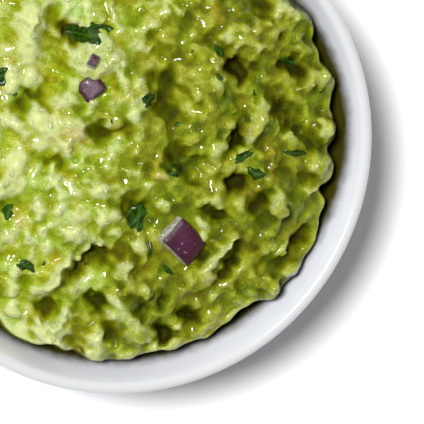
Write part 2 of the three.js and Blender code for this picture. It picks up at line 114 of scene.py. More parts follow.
CRESTS = [
    (40.0, 30.0, 5.6, 3.2, -30, 3.3),
    (29.9, 25.6, 7.4, 4.4, -10, 4.0),
    (44.5, 14.3, 2.8, 1.7, 40, 2.6),
    (49.0, 16.4, 3.4, 2.4, 60, 3.5),
    (30.8, 5.4, 5.6, 2.4, 65, 4.0),
    (48.6, 2.1, 2.6, 2.2, -40, 3.3),
    (47.2, -5.5, 3.0, 2.4, -60, 3.3),
    (44.9, -11.5, 1.9, 1.8, 0, 2.2),
    (36.4, -14.8, 4.4, 2.4, 85, 4.4),
    (-16.8, -30.2, 5.4, 2.1, 45, 4.4),
    (-1.0, -29.9, 4.0, 2.5, -65, 4.0),
    (4.4, -36.0, 3.2, 2.0, -60, 3.3),
    (-2.1, -38.8, 3.7, 3.4, 0, 4.0),
    (2.8, -44.6, 5.0, 3.2, -35, 3.3),
    (-17.5, -45.1, 6.0, 4.0, 75, 4.0),
    (-7.3, -48.0, 4.0, 2.6, -70, 3.5),
    (-0.5, -49.6, 3.8, 2.8, -20, 2.0),
    (10.4, -49.0, 3.2, 2.4, 0, 2.4),
    (23.6, -23.3, 3.4, 1.5, 45, 3.3),
    (18.9, -30.4, 5.4, 2.4, 40, 2.6),
    (35.6, -35.6, 2.8, 1.7, -65, 3.7),
    (40.0, -31.4, 2.2, 1.5, 30, 3.3),
    (-22.2, 29.6, 6.8, 3.4, 75, 3.1),
    (-6.4, 21.4, 5.8, 4.2, 0, 3.5),
    (1.3, 12.0, 5.4, 4.2, 70, 2.4),
    (-12.0, -12.1, 9.5, 6.2, 20, 1.5),
    (-14.8, 5.2, 5.8, 3.4, 0, 1.3),
    (18.6, 17.2, 5.0, 4.2, -45, 3.1),
    (19.0, 6.3, 4.8, 4.4, 90, 2.0),
    (-4.6, 6.4, 1.5, 2.6, 90, 3.7),
    (-42, -8, 6.5, 4.0, 80, 3.7),
    (-26, 40, 6.0, 3.6, 35, 3.3),
    (-46, 14, 5.0, 2.8, 100, 3.3),
    (-36, -30, 6.5, 4.0, -40, 4.0),
    (10, 45, 6.5, 3.2, -10, 3.3),
    (-6, 46, 4.5, 3.4, 30, 3.1),
]
# Curds: round lumps with a crease round each, in the same six numbers.
CURDS = [
    # back left
    (-23, 31, 5.5, 3.0, 75, 1.6),
    (-27.5, 33, 2.6, 2.2, 20, 1.3),
    (-22, 26.5, 2.4, 1.8, 60, 1.1),
    (-28.5, 22.8, 2.2, 1.9, 0, 1.3),
    (-29, 27.5, 2.0, 2.4, 0, 0.9),
    (-27.3, 18.5, 2.2, 1.9, 30, 1.2),
    (-26.5, 15.2, 2.2, 1.7, 0, 1.1),
    (-28.6, 11.5, 2.2, 1.9, 40, 1.2),
    (-27.2, 6.8, 2.6, 2.4, 0, 1.6),
    (-16, 12.5, 4.2, 2.9, -20, 2.2),
    (-21.5, 8.4, 3.4, 2.6, 105, 1.9),
    (-17.3, 9.2, 1.5, 1.1, -20, 1.0),
    (-13.5, 8.9, 1.6, 1.0, -25, 0.9),
    (-14.5, 6.5, 1.7, 1.2, -10, 1.0),
    (-11.2, 6.4, 1.5, 1.6, 0, 1.1),
    (-19, 4.6, 3.0, 1.6, -10, 1.0),
    (-24, 4.0, 2.2, 1.6, -20, 1.0),
    (-11.6, 4.3, 2.0, 1.0, -40, 0.8),
    (-8.6, 10.4, 2.2, 1.5, 60, 1.4),
    (-1.2, 15.6, 6.0, 1.6, 103, 1.4),
    (-11.6, 18.4, 2.2, 1.6, 150, 1.4),
    (-12.0, 15.0, 1.6, 1.3, 0, 0.9),
    (-9.0, 24.6, 2.6, 2.0, 0, 1.3),
    (-5.8, 25.5, 2.4, 1.5, -10, 0.9),
    (-3.2, 21.6, 2.6, 2.2, 40, 0.8),
    (-1.7, 27.6, 1.6, 1.1, 10, 1.2),
    (2.0, 27.8, 2.6, 1.5, 15, 0.9),
    (5.6, 28.3, 2.7, 1.6, 12, 1.2),
    (-6.4, 30.5, 1.3, 0.9, -40, 1.6),
    (-9.6, 33.4, 2.0, 1.5, 0, 0.9),
    (-13.2, 33.3, 2.4, 1.5, 0, 0.9),
    (-17.8, 33.4, 1.8, 1.4, -30, 1.3),
    (-3.4, 32.4, 2.2, 1.2, 80, 1.1),
    # back middle
    (9.5, 26.0, 3.0, 2.2, 30, 1.4),
    (12.7, 24.6, 2.6, 2.4, 60, 1.0),
    (5.8, 23.2, 1.3, 1.0, 0, 0.7),
    (2.5, 24.3, 2.4, 1.8, 0, 0.7),
    (18.0, 22.4, 2.6, 2.2, 0, 1.3),
    (21.6, 19.4, 2.9, 1.7, -35, 2.0),
    (17.0, 28.0, 4.4, 2.6, 33, 1.5),
    (13.0, 31.6, 2.0, 1.6, 10, 1.3),
    (9.0, 31.5, 1.9, 1.1, 85, 1.2),
    (6.4, 34.2, 2.3, 1.3, 0, 1.2),
    (10.5, 34.2, 2.4, 1.3, 0, 0.9),
    (20.8, 34.0, 1.6, 1.2, 80, 1.2),
    (21.5, 31.0, 3.0, 1.6, 90, 0.9),
    (26.5, 32.4, 2.6, 1.8, 20, 1.0),
    (16.2, 17.8, 1.9, 1.3, 40, 0.9),
    (18.8, 17.4, 1.5, 1.2, -20, 1.2),
    (18.5, 14.6, 2.6, 1.9, 0, 0.7),
    (15.2, 12.5, 2.1, 1.2, -20, 1.0),
    (18.0, 10.8, 1.5, 1.1, 0, 0.9),
    (18.4, 8.2, 2.1, 1.8, 60, 1.4),
    (13.0, 9.3, 2.4, 1.4, -20, 1.0),
    (22.0, 15.7, 1.9, 1.6, 0, 1.0),
    (23.8, 9.8, 2.7, 1.6, 80, 1.4),
    (24.4, 5.4, 1.8, 1.0, 0, 1.2),
    (21.4, 12.2, 1.4, 1.3, 0, 0.8),
    (28.0, 13.2, 2.6, 1.7, 10, 0.9),
    (1.6, 5.8, 3.4, 2.8, 100, 1.7),
    (3.4, 9.4, 2.2, 1.6, 30, 0.8),
    (-3.0, 2.4, 2.9, 1.2, 10, 1.4),
    # back right
    (24.0, 26.6, 2.2, 1.6, 80, 1.3),
    (27.2, 27.4, 2.4, 1.6, 10, 1.3),
    (30.6, 27.7, 1.7, 1.4, 0, 1.3),
    (33.2, 28.3, 1.6, 1.5, 0, 1.4),
    (36.2, 26.8, 2.6, 1.7, 105, 1.2),
    (35.0, 25.2, 2.0, 1.7, 0, 1.5),
    (31.8, 22.8, 1.8, 1.5, 80, 1.6),
    (34.8, 22.3, 1.6, 1.2, 0, 1.0),
    (27.4, 24.4, 3.3, 1.7, 0, 1.0),
    (23.3, 24.6, 1.1, 0.9, 0, 0.9),
    (37.4, 31.4, 3.1, 2.5, 0, 2.0),
    (41.6, 30.4, 2.6, 1.7, 0, 1.3),
    (44.2, 31.0, 1.7, 1.6, 0, 1.5),
    (45.9, 26.9, 2.0, 1.2, 70, 1.0),
    (42.5, 21.7, 2.6, 1.8, 20, 1.6),
    (42.0, 24.4, 2.4, 1.4, 10, 1.0),
    (38.0, 15.8, 3.0, 1.6, -20, 0.8),
    (33.0, 15.6, 2.2, 1.6, -10, 1.0),
    (44.0, 14.4, 2.9, 1.4, 40, 2.1),
    (48.6, 16.8, 2.8, 2.4, 60, 1.6),
    (46.6, 13.8, 1.2, 1.0, 0, 0.8),
    (32.6, 7.0, 3.2, 2.3, -45, 1.7),
    (28.9, 6.0, 1.8, 1.0, 80, 1.2),
    (29.7, 2.6, 1.9, 1.5, 80, 1.5),
    (30.2, 10.0, 1.9, 1.5, 0, 1.1),
    (41.5, 10.2, 3.4, 1.6, -42, 0.8),
    # right
    (48.0, 3.4, 2.9, 1.7, -48, 2.0),
    (47.2, -5.3, 2.9, 2.6, 90, 1.7),
    (46.0, -3.1, 1.3, 1.1, 0, 1.3),
    (44.4, 0.6, 2.7, 1.0, -40, 1.0),
    (48.2, -8.9, 1.4, 1.3, 0, 1.1),
    (40.5, -7.6, 1.8, 1.3, -20, 1.0),
    (36.4, -4.4, 1.7, 1.0, 85, 0.8),
    (38.6, 1.1, 1.9, 1.5, 0, 1.0),
    (36.4, 2.6, 2.0, 1.2, 70, 0.9),
    (40.6, -5.0, 2.4, 1.2, 10, 0.8),
    (44.7, -11.6, 1.4, 1.4, 0, 1.5),
    (42.0, -13.5, 2.2, 1.5, 20, 0.8),
    (36.2, -13.8, 2.3, 1.7, 85, 1.8),
    (36.6, -17.6, 2.9, 1.6, 88, 1.6),
    (38.4, -12.7, 1.7, 0.9, 80, 1.0),
    (34.3, -2.4, 2.1, 0.9, 95, 1.3),
    (34.9, -6.0, 2.1, 0.9, 88, 1.3),
    (33.8, -9.2, 1.8, 1.0, 50, 1.3),
    (31.3, -10.5, 1.8, 1.0, 5, 1.1),
    (31.4, -2.8, 2.5, 1.3, -15, 1.3),
    (31.8, -7.2, 1.7, 1.5, 0, 1.3),
    (24.0, 1.9, 2.9, 1.2, 65, 1.7),
    (20.4, 0.0, 2.6, 1.9, -20, 1.0),
    (15.2, 2.2, 2.0, 1.5, 80, 1.2),
    (11.8, 1.2, 2.2, 1.1, -30, 0.9),
    (28.0, -18.2, 2.8, 2.2, 0, 1.0),
    (26.6, -14.4, 2.4, 1.8, 80, 1.0),
    (29.6, -22.2, 2.4, 1.8, 20, 0.8),
    (43.4, -19.6, 2.0, 1.2, 70, 0.8),
    (41.0, -17.4, 1.8, 1.3, 0, 0.8),
    (45.2, -15.2, 1.8, 1.2, 60, 0.8),
    # middle
    (7.0, -3.2, 2.8, 1.4, 35, 1.3),
    (7.6, -6.2, 2.1, 1.8, 40, 1.4),
    (1.8, -1.0, 1.5, 1.4, 0, 1.2),
    (1.0, -5.2, 2.6, 1.6, 0, 1.5),
    (4.5, -8.4, 1.5, 1.1, 0, 0.9),
    (9.6, -9.0, 2.0, 1.2, 70, 1.0),
    (15.9, -7.0, 1.6, 1.3, 0, 1.1),
    (11.2, -6.2, 2.0, 1.2, 60, 0.9),
    (14.6, -2.2, 2.0, 1.2, 50, 0.9),
    (8.7, -13.7, 1.9, 1.7, 90, 1.7),
    (12.0, -12.6, 2.0, 1.3, 100, 1.5),
    (18.0, -13.2, 2.0, 1.0, -5, 1.5),
    (21.0, -12.2, 2.7, 1.8, 75, 1.1),
    (16.4, -10.4, 2.6, 0.8, 0, 0.9),
    (17.2, -19.0, 2.6, 1.5, -35, 1.7),
    (18.1, -21.8, 1.9, 1.4, -35, 1.9),
    (24.0, -23.2, 3.3, 1.1, 50, 1.8),
    (25.8, -21.6, 1.2, 0.9, 20, 0.9),
    (1.9, -22.4, 3.0, 1.2, 85, 1.4),
    # left
    (-26.2, -4.0, 4.4, 3.0, 80, 1.7),
    (-28.0, -9.6, 2.4, 2.0, 30, 1.2),
    (-17.2, -4.0, 1.2, 0.6, 92, 2.2),
    (-14.8, -3.2, 1.9, 1.5, 60, 1.4),
    (-12.0, -3.6, 2.2, 1.9, 0, 1.1),
    (-14.2, 0.2, 2.4, 1.4, 95, 1.6),
    (-18.0, -7.4, 2.4, 2.2, 60, 1.8),
    (-21.6, -14.0, 3.4, 1.7, 70, 1.5),
    (-20.0, -18.6, 2.0, 1.6, 80, 1.2),
    (-22.6, -21.2, 1.9, 1.5, 80, 1.2),
    (-19.6, -22.8, 1.9, 1.6, 70, 1.1),
    (-16.2, -9.8, 2.1, 1.7, -30, 1.0),
    (-16.2, -13.6, 2.4, 1.7, 60, 0.7),
    (-8.5, -4.0, 1.6, 1.5, 0, 1.1),
    (-9.8, -6.0, 1.7, 1.1, 30, 0.9),
    (-5.0, -3.0, 2.0, 1.5, 20, 0.9),
    (-3.0, -5.2, 1.4, 1.1, 0, 0.8),
    (-7.0, -10.2, 3.2, 2.0, -15, 1.2),
    (-3.6, -8.2, 1.8, 1.4, 0, 0.9),
    (-5.4, -16.2, 3.2, 2.8, 90, 1.7),
    (-13.4, -19.9, 4.2, 1.9, -8, 1.5),
    (-16.3, -22.7, 1.4, 1.1, 0, 0.8),
    (-3.4, -20.8, 2.2, 1.9, 40, 1.2),
    (-6.2, -22.0, 1.3, 1.2, 0, 0.9),
    (-28.0, -19.5, 2.4, 2.0, 0, 1.2),
    # front left
    (-16.5, -29.5, 5.0, 1.7, 50, 2.2),
    (-23.0, -25.6, 2.3, 1.3, 80, 1.1),
    (-26.0, -28.6, 2.5, 1.4, 85, 1.1),
    (-22.6, -30.0, 2.2, 1.5, 80, 1.0),
    (-27.2, -33.0, 2.4, 1.6, 80, 1.0),
    (-21.8, -33.0, 1.8, 1.2, 40, 0.9),
    (-26.6, -38.2, 2.4, 1.5, 70, 1.7),
    (-24.2, -41.2, 2.3, 1.5, -55, 1.0),
    (-20.6, -43.3, 3.4, 1.4, 80, 1.6),
    (-16.4, -41.6, 3.2, 1.3, 66, 1.8),
    (-13.6, -39.3, 2.4, 1.3, -10, 1.6),
    (-14.0, -44.4, 2.0, 1.8, 0, 1.0),
    (-17.4, -47.4, 3.2, 1.6, -25, 1.1),
    (-15.0, -49.8, 1.7, 1.0, 0, 1.0),
    (-7.2, -45.3, 2.3, 1.9, 60, 1.6),
    (-9.0, -50.2, 1.3, 1.1, 0, 1.5),
    (-10.0, -47.6, 1.2, 0.6, 60, 1.0),
    (-5.2, -47.6, 1.9, 1.6, 0, 0.9),
    (-7.0, -51.7, 2.2, 1.0, -15, 0.9),
    (-3.6, -38.3, 3.0, 2.6, 90, 1.9),
    (-1.3, -29.4, 3.3, 2.1, 78, 1.9),
    (0.0, -33.2, 2.0, 1.6, -40, 1.4),
    (-8.5, -33.3, 3.2, 1.1, 15, 1.0),
    (-13.0, -33.0, 2.0, 1.3, 20, 0.7),
    (0.0, -50.0, 3.0, 1.6, -10, 0.9),
    # front
    (3.2, -24.4, 3.7, 1.5, 88, 1.6),
    (4.3, -30.8, 2.2, 1.8, -30, 1.5),
    (3.0, -33.8, 2.2, 1.5, 60, 1.3),
    (4.7, -36.3, 1.8, 1.2, 85, 1.7),
    (7.5, -32.2, 2.9, 2.1, 60, 1.3),
    (7.6, -36.0, 1.8, 1.0, 30, 1.0),
    (10.3, -36.8, 2.5, 1.4, 60, 1.1),
    (8.2, -40.8, 1.9, 1.1, 15, 1.3),
    (2.6, -44.4, 4.2, 3.0, -42, 1.9),
    (4.0, -42.0, 1.6, 1.2, 0, 0.9),
    (12.8, -44.5, 2.4, 1.1, -20, 1.4),
    (7.7, -48.5, 1.5, 1.2, 0, 1.5),
    (10.8, -48.2, 2.8, 1.2, 10, 1.0),
    (18.5, -43.6, 3.5, 2.6, 80, 1.9),
    (17.2, -39.0, 1.5, 1.3, 0, 1.3),
    (21.6, -42.0, 3.8, 1.5, 80, 1.2),
    (14.4, -31.5, 1.8, 1.6, 0, 1.5),
    (18.8, -28.6, 2.7, 2.1, 60, 1.7),
    (19.0, -32.0, 1.9, 1.5, 80, 1.3),
    (22.6, -25.9, 2.3, 1.5, 50, 1.3),
    (25.0, -34.0, 1.9, 1.2, 15, 1.1),
    (22.0, -36.2, 2.2, 1.5, 40, 0.9),
    (26.6, -37.4, 2.7, 2.2, 0, 1.3),
    (31.0, -38.0, 2.4, 1.7, 30, 1.3),
    (27.2, -31.0, 2.4, 1.5, 40, 1.1),
    (30.4, -31.2, 1.6, 0.9, 80, 1.3),
    (33.0, -25.4, 3.2, 1.9, 20, 1.3),
    (38.0, -25.8, 2.5, 1.3, 28, 1.4),
    (33.4, -21.8, 2.3, 1.9, 0, 1.0),
    (35.8, -35.0, 2.9, 1.6, -60, 1.9),
    (38.7, -31.8, 1.3, 1.0, 60, 1.6),
    (40.5, -30.8, 1.5, 0.9, 50, 1.6),
]
# Pits: steep-sided dark hollows between the curds, in the same six numbers.
PITS = [
    (-12.6, 27.0, 2.9, 1.3, -58, 3.0),
    (-7.2, 28.9, 4.4, 1.4, -4, 2.8),
    (-4.8, 31.5, 1.8, 0.8, 90, 1.5),
    (4.0, 31.0, 2.6, 1.4, 15, 2.6),
    (-22.6, 12.6, 3.6, 1.3, -33, 2.4),
    (-18.6, 10.0, 1.9, 1.0, -35, 2.0),
    (-11.2, 10.2, 1.3, 0.7, 75, 1.6),
    (-10.3, 1.9, 1.5, 0.5, -25, 1.8),
    (-8.0, 5.5, 2.0, 1.6, 30, 3.4),
    (-1.8, 7.3, 1.7, 1.2, -50, 3.2),
    (-5.6, 4.0, 2.4, 0.9, 5, 2.2),
    (-3.6, 14.0, 3.2, 0.4, 92, 0.9),
    (26.9, 18.2, 2.8, 1.9, -30, 3.6),
    (24.3, 20.4, 2.0, 1.0, -35, 3.0),
    (32.4, 32.4, 2.8, 1.7, -25, 2.4),
    (24.4, 34.4, 1.6, 1.2, 0, 1.8),
    (38.4, 23.4, 1.9, 1.3, 70, 2.2),
    (37.4, 18.0, 1.6, 1.2, 0, 2.0),
    (41.8, 17.6, 1.9, 1.0, -15, 2.2),
    (41.8, 12.0, 2.8, 0.7, 12, 1.8),
    (25.8, 0.8, 3.4, 1.1, 68, 3.6),
    (45.6, 3.4, 2.0, 1.0, -48, 1.6),
    (48.8, -1.2, 1.9, 1.2, -10, 3.2),
    (49.0, -10.9, 1.2, 0.9, 0, 2.2),
    (31.4, -14.6, 2.6, 1.2, 15, 1.6),
    (36.9, -21.6, 1.9, 0.9, -20, 1.8),
    (25.4, -8.6, 2.7, 2.0, -20, 3.6),
    (17.0, 0.2, 1.8, 0.9, -15, 1.8),
    (14.0, -6.5, 1.5, 0.9, 0, 2.0),
    (19.5, -4.6, 2.4, 1.4, -30, 2.0),
    (23.4, -3.6, 1.9, 1.4, 0, 2.2),
    (16.4, -9.0, 2.9, 0.7, 14, 1.8),
    (16.0, -11.9, 1.1, 0.5, 0, 1.2),
    (20.0, -15.8, 4.2, 0.9, 14, 2.4),
    (22.5, -18.5, 1.4, 2.4, 0, 1.8),
    (-17.4, -2.6, 2.9, 1.2, 32, 3.0),
    (-11.6, -8.4, 4.6, 1.3, 102, 2.4),
    (-10.4, -14.4, 2.4, 1.2, 95, 2.0),
    (-8.2, -15.0, 1.5, 0.9, 0, 1.5),
    (-7.6, -24.9, 5.4, 1.6, 3, 3.6),
    (-12.0, -27.6, 2.4, 1.3, 85, 3.4),
    (-9.2, -30.3, 2.6, 0.9, -5, 3.0),
    (-19.0, -37.2, 3.3, 1.3, -8, 2.8),
    (-12.3, -48.8, 2.8, 1.1, 85, 3.2),
    (-7.3, -36.6, 1.9, 1.5, 0, 2.4),
    (-8.6, -41.4, 3.4, 1.5, 60, 1.6),
    (-12.0, -36.3, 1.6, 1.1, 0, 1.4),
    (1.4, -29.6, 2.4, 0.7, 85, 1.8),
    (5.2, -24.4, 2.4, 0.5, 92, 1.8),
    (4.6, -39.0, 3.2, 0.9, 5, 2.6),
    (9.6, -44.0, 2.4, 1.3, 0, 3.0),
    (14.8, -41.4, 2.0, 1.7, -30, 3.2),
    (24.4, -27.6, 2.6, 1.1, 72, 2.8),
    (37.5, -29.0, 3.8, 1.1, 16, 2.6),
    (42.0, -24.4, 2.2, 1.6, 60, 2.4),
    (33.0, -29.4, 1.6, 1.3, 0, 2.2),
    (25.8, -41.0, 2.6, 0.9, 10, 2.6),
    (17.4, -26.2, 2.6, 1.2, 44, 3.4),
    (2.4, -13.4, 2.8, 2.0, -20, 2.0),
]
PIT_DEPTH = 0.36  # share of the listed depth
PIT_DEEPEST = 3.6
HOLLOW_DEPTH = 0.72  # share of the listed depth
WAVER = 0.52  # how far the curds' and pits' outlines stray from ovals
FADE_RATE = 0.75  # how soon hollows and crests fade, and how sharply
FADE_POWER = 1.25

# The heap's smooth form: how high its middle and its brim stand over the bowl's rim, how much
# higher the brim is on one side and on which, in degrees, the brim's radius, and how flat the
# middle is.
HEAP_CROWN = 7.0
HEAP_BRIM = -3.6
BRIM_LEAN = 1.0
BRIM_HIGHEST = 10.0
BRIM_RADIUS = 54.0
HEAP_POWER = 2.3
# The heap's side, which drops steeply into the gap beside the wall: from how far within the
# radius to how far beyond it.
SIDE_RADIUS = 51.5
SIDE_DROP = 10.5
SIDE_WITHIN = 0.8
SIDE_BEYOND = 1.3
# Bulges and notches of that side: middle and half spread in degrees round the bowl, and how far out.
SIDE_TURNS = [
    (33, 2.5, 0.6),
    (27, 1.8, -0.8),
    (21, 2.0, -0.6),
    (15, 2.6, 2.2),
    (8.5, 1.6, -0.7),
    (3, 1.6, 0.5),
    (-8, 2.2, 0.5),
    (-21.5, 1.5, -0.7),
    (-28, 2.0, 0.5),
    (-33, 1.4, -0.4),
    (-51, 1.6, -0.6),
    (-59, 1.8, 0.5),
    (-67, 2.2, 0.8),
    (-81, 2.4, -0.6),
    (-88, 1.8, 0.5),
    (-103, 2.2, -0.5),
    (-127, 3.0, -0.9),
    (-3.1, 1.8, -1.9),
    (-14, 1.8, -2.3),
    (-35, 13, 2.1),
    (-46, 2.4, 1.2),
    (-56, 5, -1.6),
    (-96, 7, 1.4),
    (-110, 2.5, -1.2),
    (-119, 6, 1.5),
    (33, 8, 2.0),
    (60, 6, -1.6),
    (90, 9, -3.4),
    (122, 9, 1.4),
    (152, 8, 1.2),
    (180, 10, -3.6),
    (-146, 6, -2.0),
]
# Painted shadow on the wall in the gap beside the mash, a dark band: its height, its least height above
# the mash, over what height it fades, and where it climbs higher: middle and half spread in degrees, and
# how much.
GAP_SHADE_LEVEL = 43.5
GAP_SHADE_ABOVE = 3.0
GAP_SHADE_FADE = 6.0
GAP_SHADE_CLIMBS = [(5, 30, 3.5)]
# Soft lumps in the left and the back of the heap, on a jittered triangular grid.
LUMP_SPACING = 6.2
LUMP_COLUMNS = 12  # each way from the middle
LUMP_ROWS = 13
LUMP_JITTER = 2.3
LUMP_RADIUS = (2.6, 4.6)
LUMP_RISE = (0.7, 1.9)
LUMP_SEED = 5912
LUMPS_LEFT_OF = -30
LUMPS_BEHIND = 35

EDGE_RADIUS = 55.9  # the disk's outer ring, before it is fitted to the wall
FITTED_FROM = 38.0  # from here outwards the rings draw closer together, to end on the wall
CONTACT_INNERMOST = 44.0  # the least radius at which the heap can meet the wall
CONTACT_STEP = 0.2
WALL_GAP = 0.08  # between the mash and the wall
SIDE_ROWS = 9  # rows of faces down the side of the mash along the wall

RELIEF_MARGIN = 5.0  # distance in from the wall at which the small relief is whole
RELIEF_RISE = 3.0  # and how far above the place where the mash meets the wall
PRESSED_FLAT = 0.7  # share of it that an onion dice presses flat
SLIMMEST_NUB = (0.8, 0.7, 0.40)  # the least and the most that a loose nub is stretched each way
FATTEST_NUB = (1.8, 1.1, 0.75)

# How high a place stands in its surroundings, at three widths: rounds of smoothing, the height in
# mm that counts as 1, and its share. The mash's material turns it into painted light on its crests and
# painted shade in its hollows.
TONE_WIDTHS = [(6, 0.22, 0.12), (40, 0.75, 0.30), (200, 1.8, 0.80)]
TONE_LIMIT = 1.5
TONE_BRIGHTEST = 1.2
# Painted shade: the side along the wall and the underside are given a low tone, so they are painted dark.
UNSEEN_TONE = -0.5  # of the side along the wall and the underside
# Painted shade: the tone is lowered close to the brink and down the steep side by the wall.
BRINK_DIM = 0.6  # the mash is dimmer close to the brink
BRINK_WIDTH = 3.4
STEEP_DIM = 1.4  # and dimmer still down its steep side
STEEP_FROM = 0.62  # upward part of the normal below which a face counts as steep
STEEP_SPAN = 0.4
STEEP_REACH = 1.6  # how far in from the wall, in widths of the brink

PATCH_SOFTNESS = 0.35
# Colour patches in the mash, each an oval: x, y, half length, half width, turn in degrees, strength.
GREEN_PATCHES = [
    (-12, 32.5, 2.6, 1.8, 0, 0.7),
    (-26, 12.3, 2.4, 1.8, 30, 0.8),
    (12.5, 23.5, 2.0, 3.0, 0, 0.6),
    (4.8, 12, 1.6, 2.0, 0, 1.0),
    (24, 10, 2.2, 2.8, 0, 0.9),
    (43, 30.5, 2.2, 2.0, 0, 0.7),
    (44.5, 32.3, 1.4, 1.2, 0, 0.9),
    (39.3, 19, 2.4, 1.6, -20, 0.8),
    (42.5, 21.8, 2.4, 1.6, 20, 0.4),
    (-6, -29.5, 2.6, 1.8, 20, 0.6),
    (-9, -33, 3.0, 1.8, 15, 0.6),
    (9.5, -44.2, 2.5, 1.5, 0, 0.7),
    (-14.8, -2.8, 1.8, 1.3, 0, 0.9),
    (-11.5, -2.5, 2.0, 1.5, 0, 0.9),
    (-10.8, -5.8, 1.8, 1.5, 0, 0.7),
    (-8.3, -3.5, 1.8, 1.4, 0, 0.8),
    (-8.5, -7.8, 1.6, 1.4, 0, 0.6),
    (-3.8, -21.5, 2.4, 1.4, 0, 0.8),
    (12, -6.6, 3.6, 2.2, -25, 0.7),
    (20.5, -17.5, 2.5, 2.0, 0, 0.8),
    (3, -16, 3.2, 4.4, 0, 0.8),
    (-5, -31.5, 3.0, 2.0, 0, 0.5),
    (-2.5, -38.5, 2.2, 2.2, 0, 0.5),
    (2.6, -46.5, 3.0, 1.8, -40, 0.5),
    (-7, 31.0, 5.0, 1.6, 0, 0.5),
    (17, 21, 3.0, 2.0, 30, 0.4),
    (30.5, -4.5, 2.6, 1.6, -30, 0.7),
    (37.5, -14.5, 2.4, 1.4, 80, 0.5),
    (-38, 20, 4.0, 2.4, 50, 0.6),
    (-36, -22, 3.4, 2.6, -30, 0.6),
    (2, 44, 4.0, 2.2, 10, 0.6),
]
CREAM_PATCHES = [
    (-23, 30, 6.0, 2.5, 80, 0.8),
    (-3.3, 32, 1.8, 1.4, 0, 0.6),
    (-9, 25.5, 2.5, 1.8, 0, 0.7),
    (-16, 12.9, 3.8, 2.8, 0, 0.7),
    (-26.7, 7, 2.4, 2.0, 0, 0.7),
    (-14.4, 0.8, 1.5, 2.0, 0, 1.0),
    (5.8, 28.8, 2.4, 1.2, 10, 0.8),
    (12.5, 28.8, 5.5, 1.5, 35, 0.6),
    (17, 17.8, 2.4, 1.4, 0, 0.7),
    (25, 5, 1.8, 1.2, 0, 0.7),
    (32, 23, 1.5, 1.8, 0, 0.9),
    (30.3, 26.3, 1.6, 1.3, 0, 0.9),
    (29, 24, 2.4, 1.6, 0, 0.6),
    (24.5, 26.7, 1.6, 1.4, 0, 0.7),
    (24.5, 3.2, 2.6, 1.0, 60, 0.9),
    (31, -2.3, 2.2, 1.2, -15, 0.8),
    (30, -9.8, 2.0, 1.2, 0, 0.8),
    (44, 1.8, 2.6, 1.0, -50, 0.7),
    (-12, -33, 2.4, 1.4, 0, 0.6),
    (-28, -29, 1.8, 2.2, 0, 0.6),
    (-23, -27.5, 1.8, 2.4, 0, 0.7),
    (-22, -32, 1.8, 1.6, 0, 0.7),
    (-25, -34, 1.8, 1.8, 0, 0.6),
    (18.3, -22, 1.8, 1.3, -35, 1.0),
    (-25.5, -4, 5.0, 3.2, 80, 0.9),
    (-17.2, -4, 1.4, 0.8, 90, 1.0),
    (-17.5, -7, 3.0, 1.8, 0, 0.8),
    (15, 2.2, 1.7, 1.7, 0, 0.9),
    (2.2, 6.5, 2.8, 2.2, 0, 0.7),
    (-1.0, -29.6, 3.0, 1.8, 80, 0.6),
    (-16.5, -29.6, 4.6, 1.5, 50, 0.6),
    (24.2, -23.2, 3.0, 1.0, 50, 0.7),
    (18.6, -28.8, 2.4, 1.8, 60, 0.5),
    (-40, -8, 5.0, 3.2, 80, 0.6),
    (-28, 41, 5.0, 3.0, 30, 0.6),
]
AMBER_PATCHES = [
    (-13, 4, 3.5, 1.8, 0, 0.9),
    (-10.3, 1.8, 1.3, 0.6, -25, 1.0),
    (21.8, 31, 2.2, 3.0, 0, 0.7),
    (28, 3.5, 1.2, 2.0, 0, 0.6),
    (34.5, -5, 5.5, 0.9, 95, 0.9),
    (-14.5, -7, 2.2, 1.6, 0, 0.5),
    (6.5, -6.5, 2.5, 1.6, 0, 0.6),
    (7.5, -2.6, 3.5, 1.2, 32, 0.6),
    (16, -36, 3.5, 0.8, 8, 1.0),
    (-3.7, 14, 0.8, 4.0, 0, 0.6),
    (-25.5, -16, 1.4, 3.6, 10, 0.6),
    (38, 4.5, 5.0, 1.4, -45, 0.5),
    (30.5, -11.5, 2.2, 1.0, 20, 0.8),
    (-44, 26, 3.0, 1.8, 20, 0.6),
]

# Onion dice: length, width, thickness, turn, tilt, and the way it leans, in degrees, then how bare of
# purple skin its top is, and how much of its sides is cut aslant.
ONION_DICE = {
    "onion_1": (10.4, 7.8, 5.6, -45, 13, -20, 0.0, 1.0),
    "onion_2": (6.0, 5.2, 4.4, 38, 16, 150, 0.0, 0.15),
    "onion_3": (3.2, 2.3, 2.0, 60, 10, 90, 0.12, 0.3),
    "onion_4": (8.4, 6.8, 5.0, 25, 12, 170, 0.05, 0.6),
}
ONION_ROWS = 15  # cuts across each face of a dice
ONION_SHARPNESS = 9.0  # of its corners: 2 would make it a ball
ONION_BOW = 0.5  # how far its face bows down at two ends
ONION_SLANT = 0.7  # how far a slant cut comes down from its face
SEAT_DEPTH = 0.9  # how far the mash is pressed in under a dice with slant sides
SEAT_WIDTH = 0.30  # share of the dice's length and width
SEAT_LEAST = 0.3  # share of the depth under a dice without slant sides

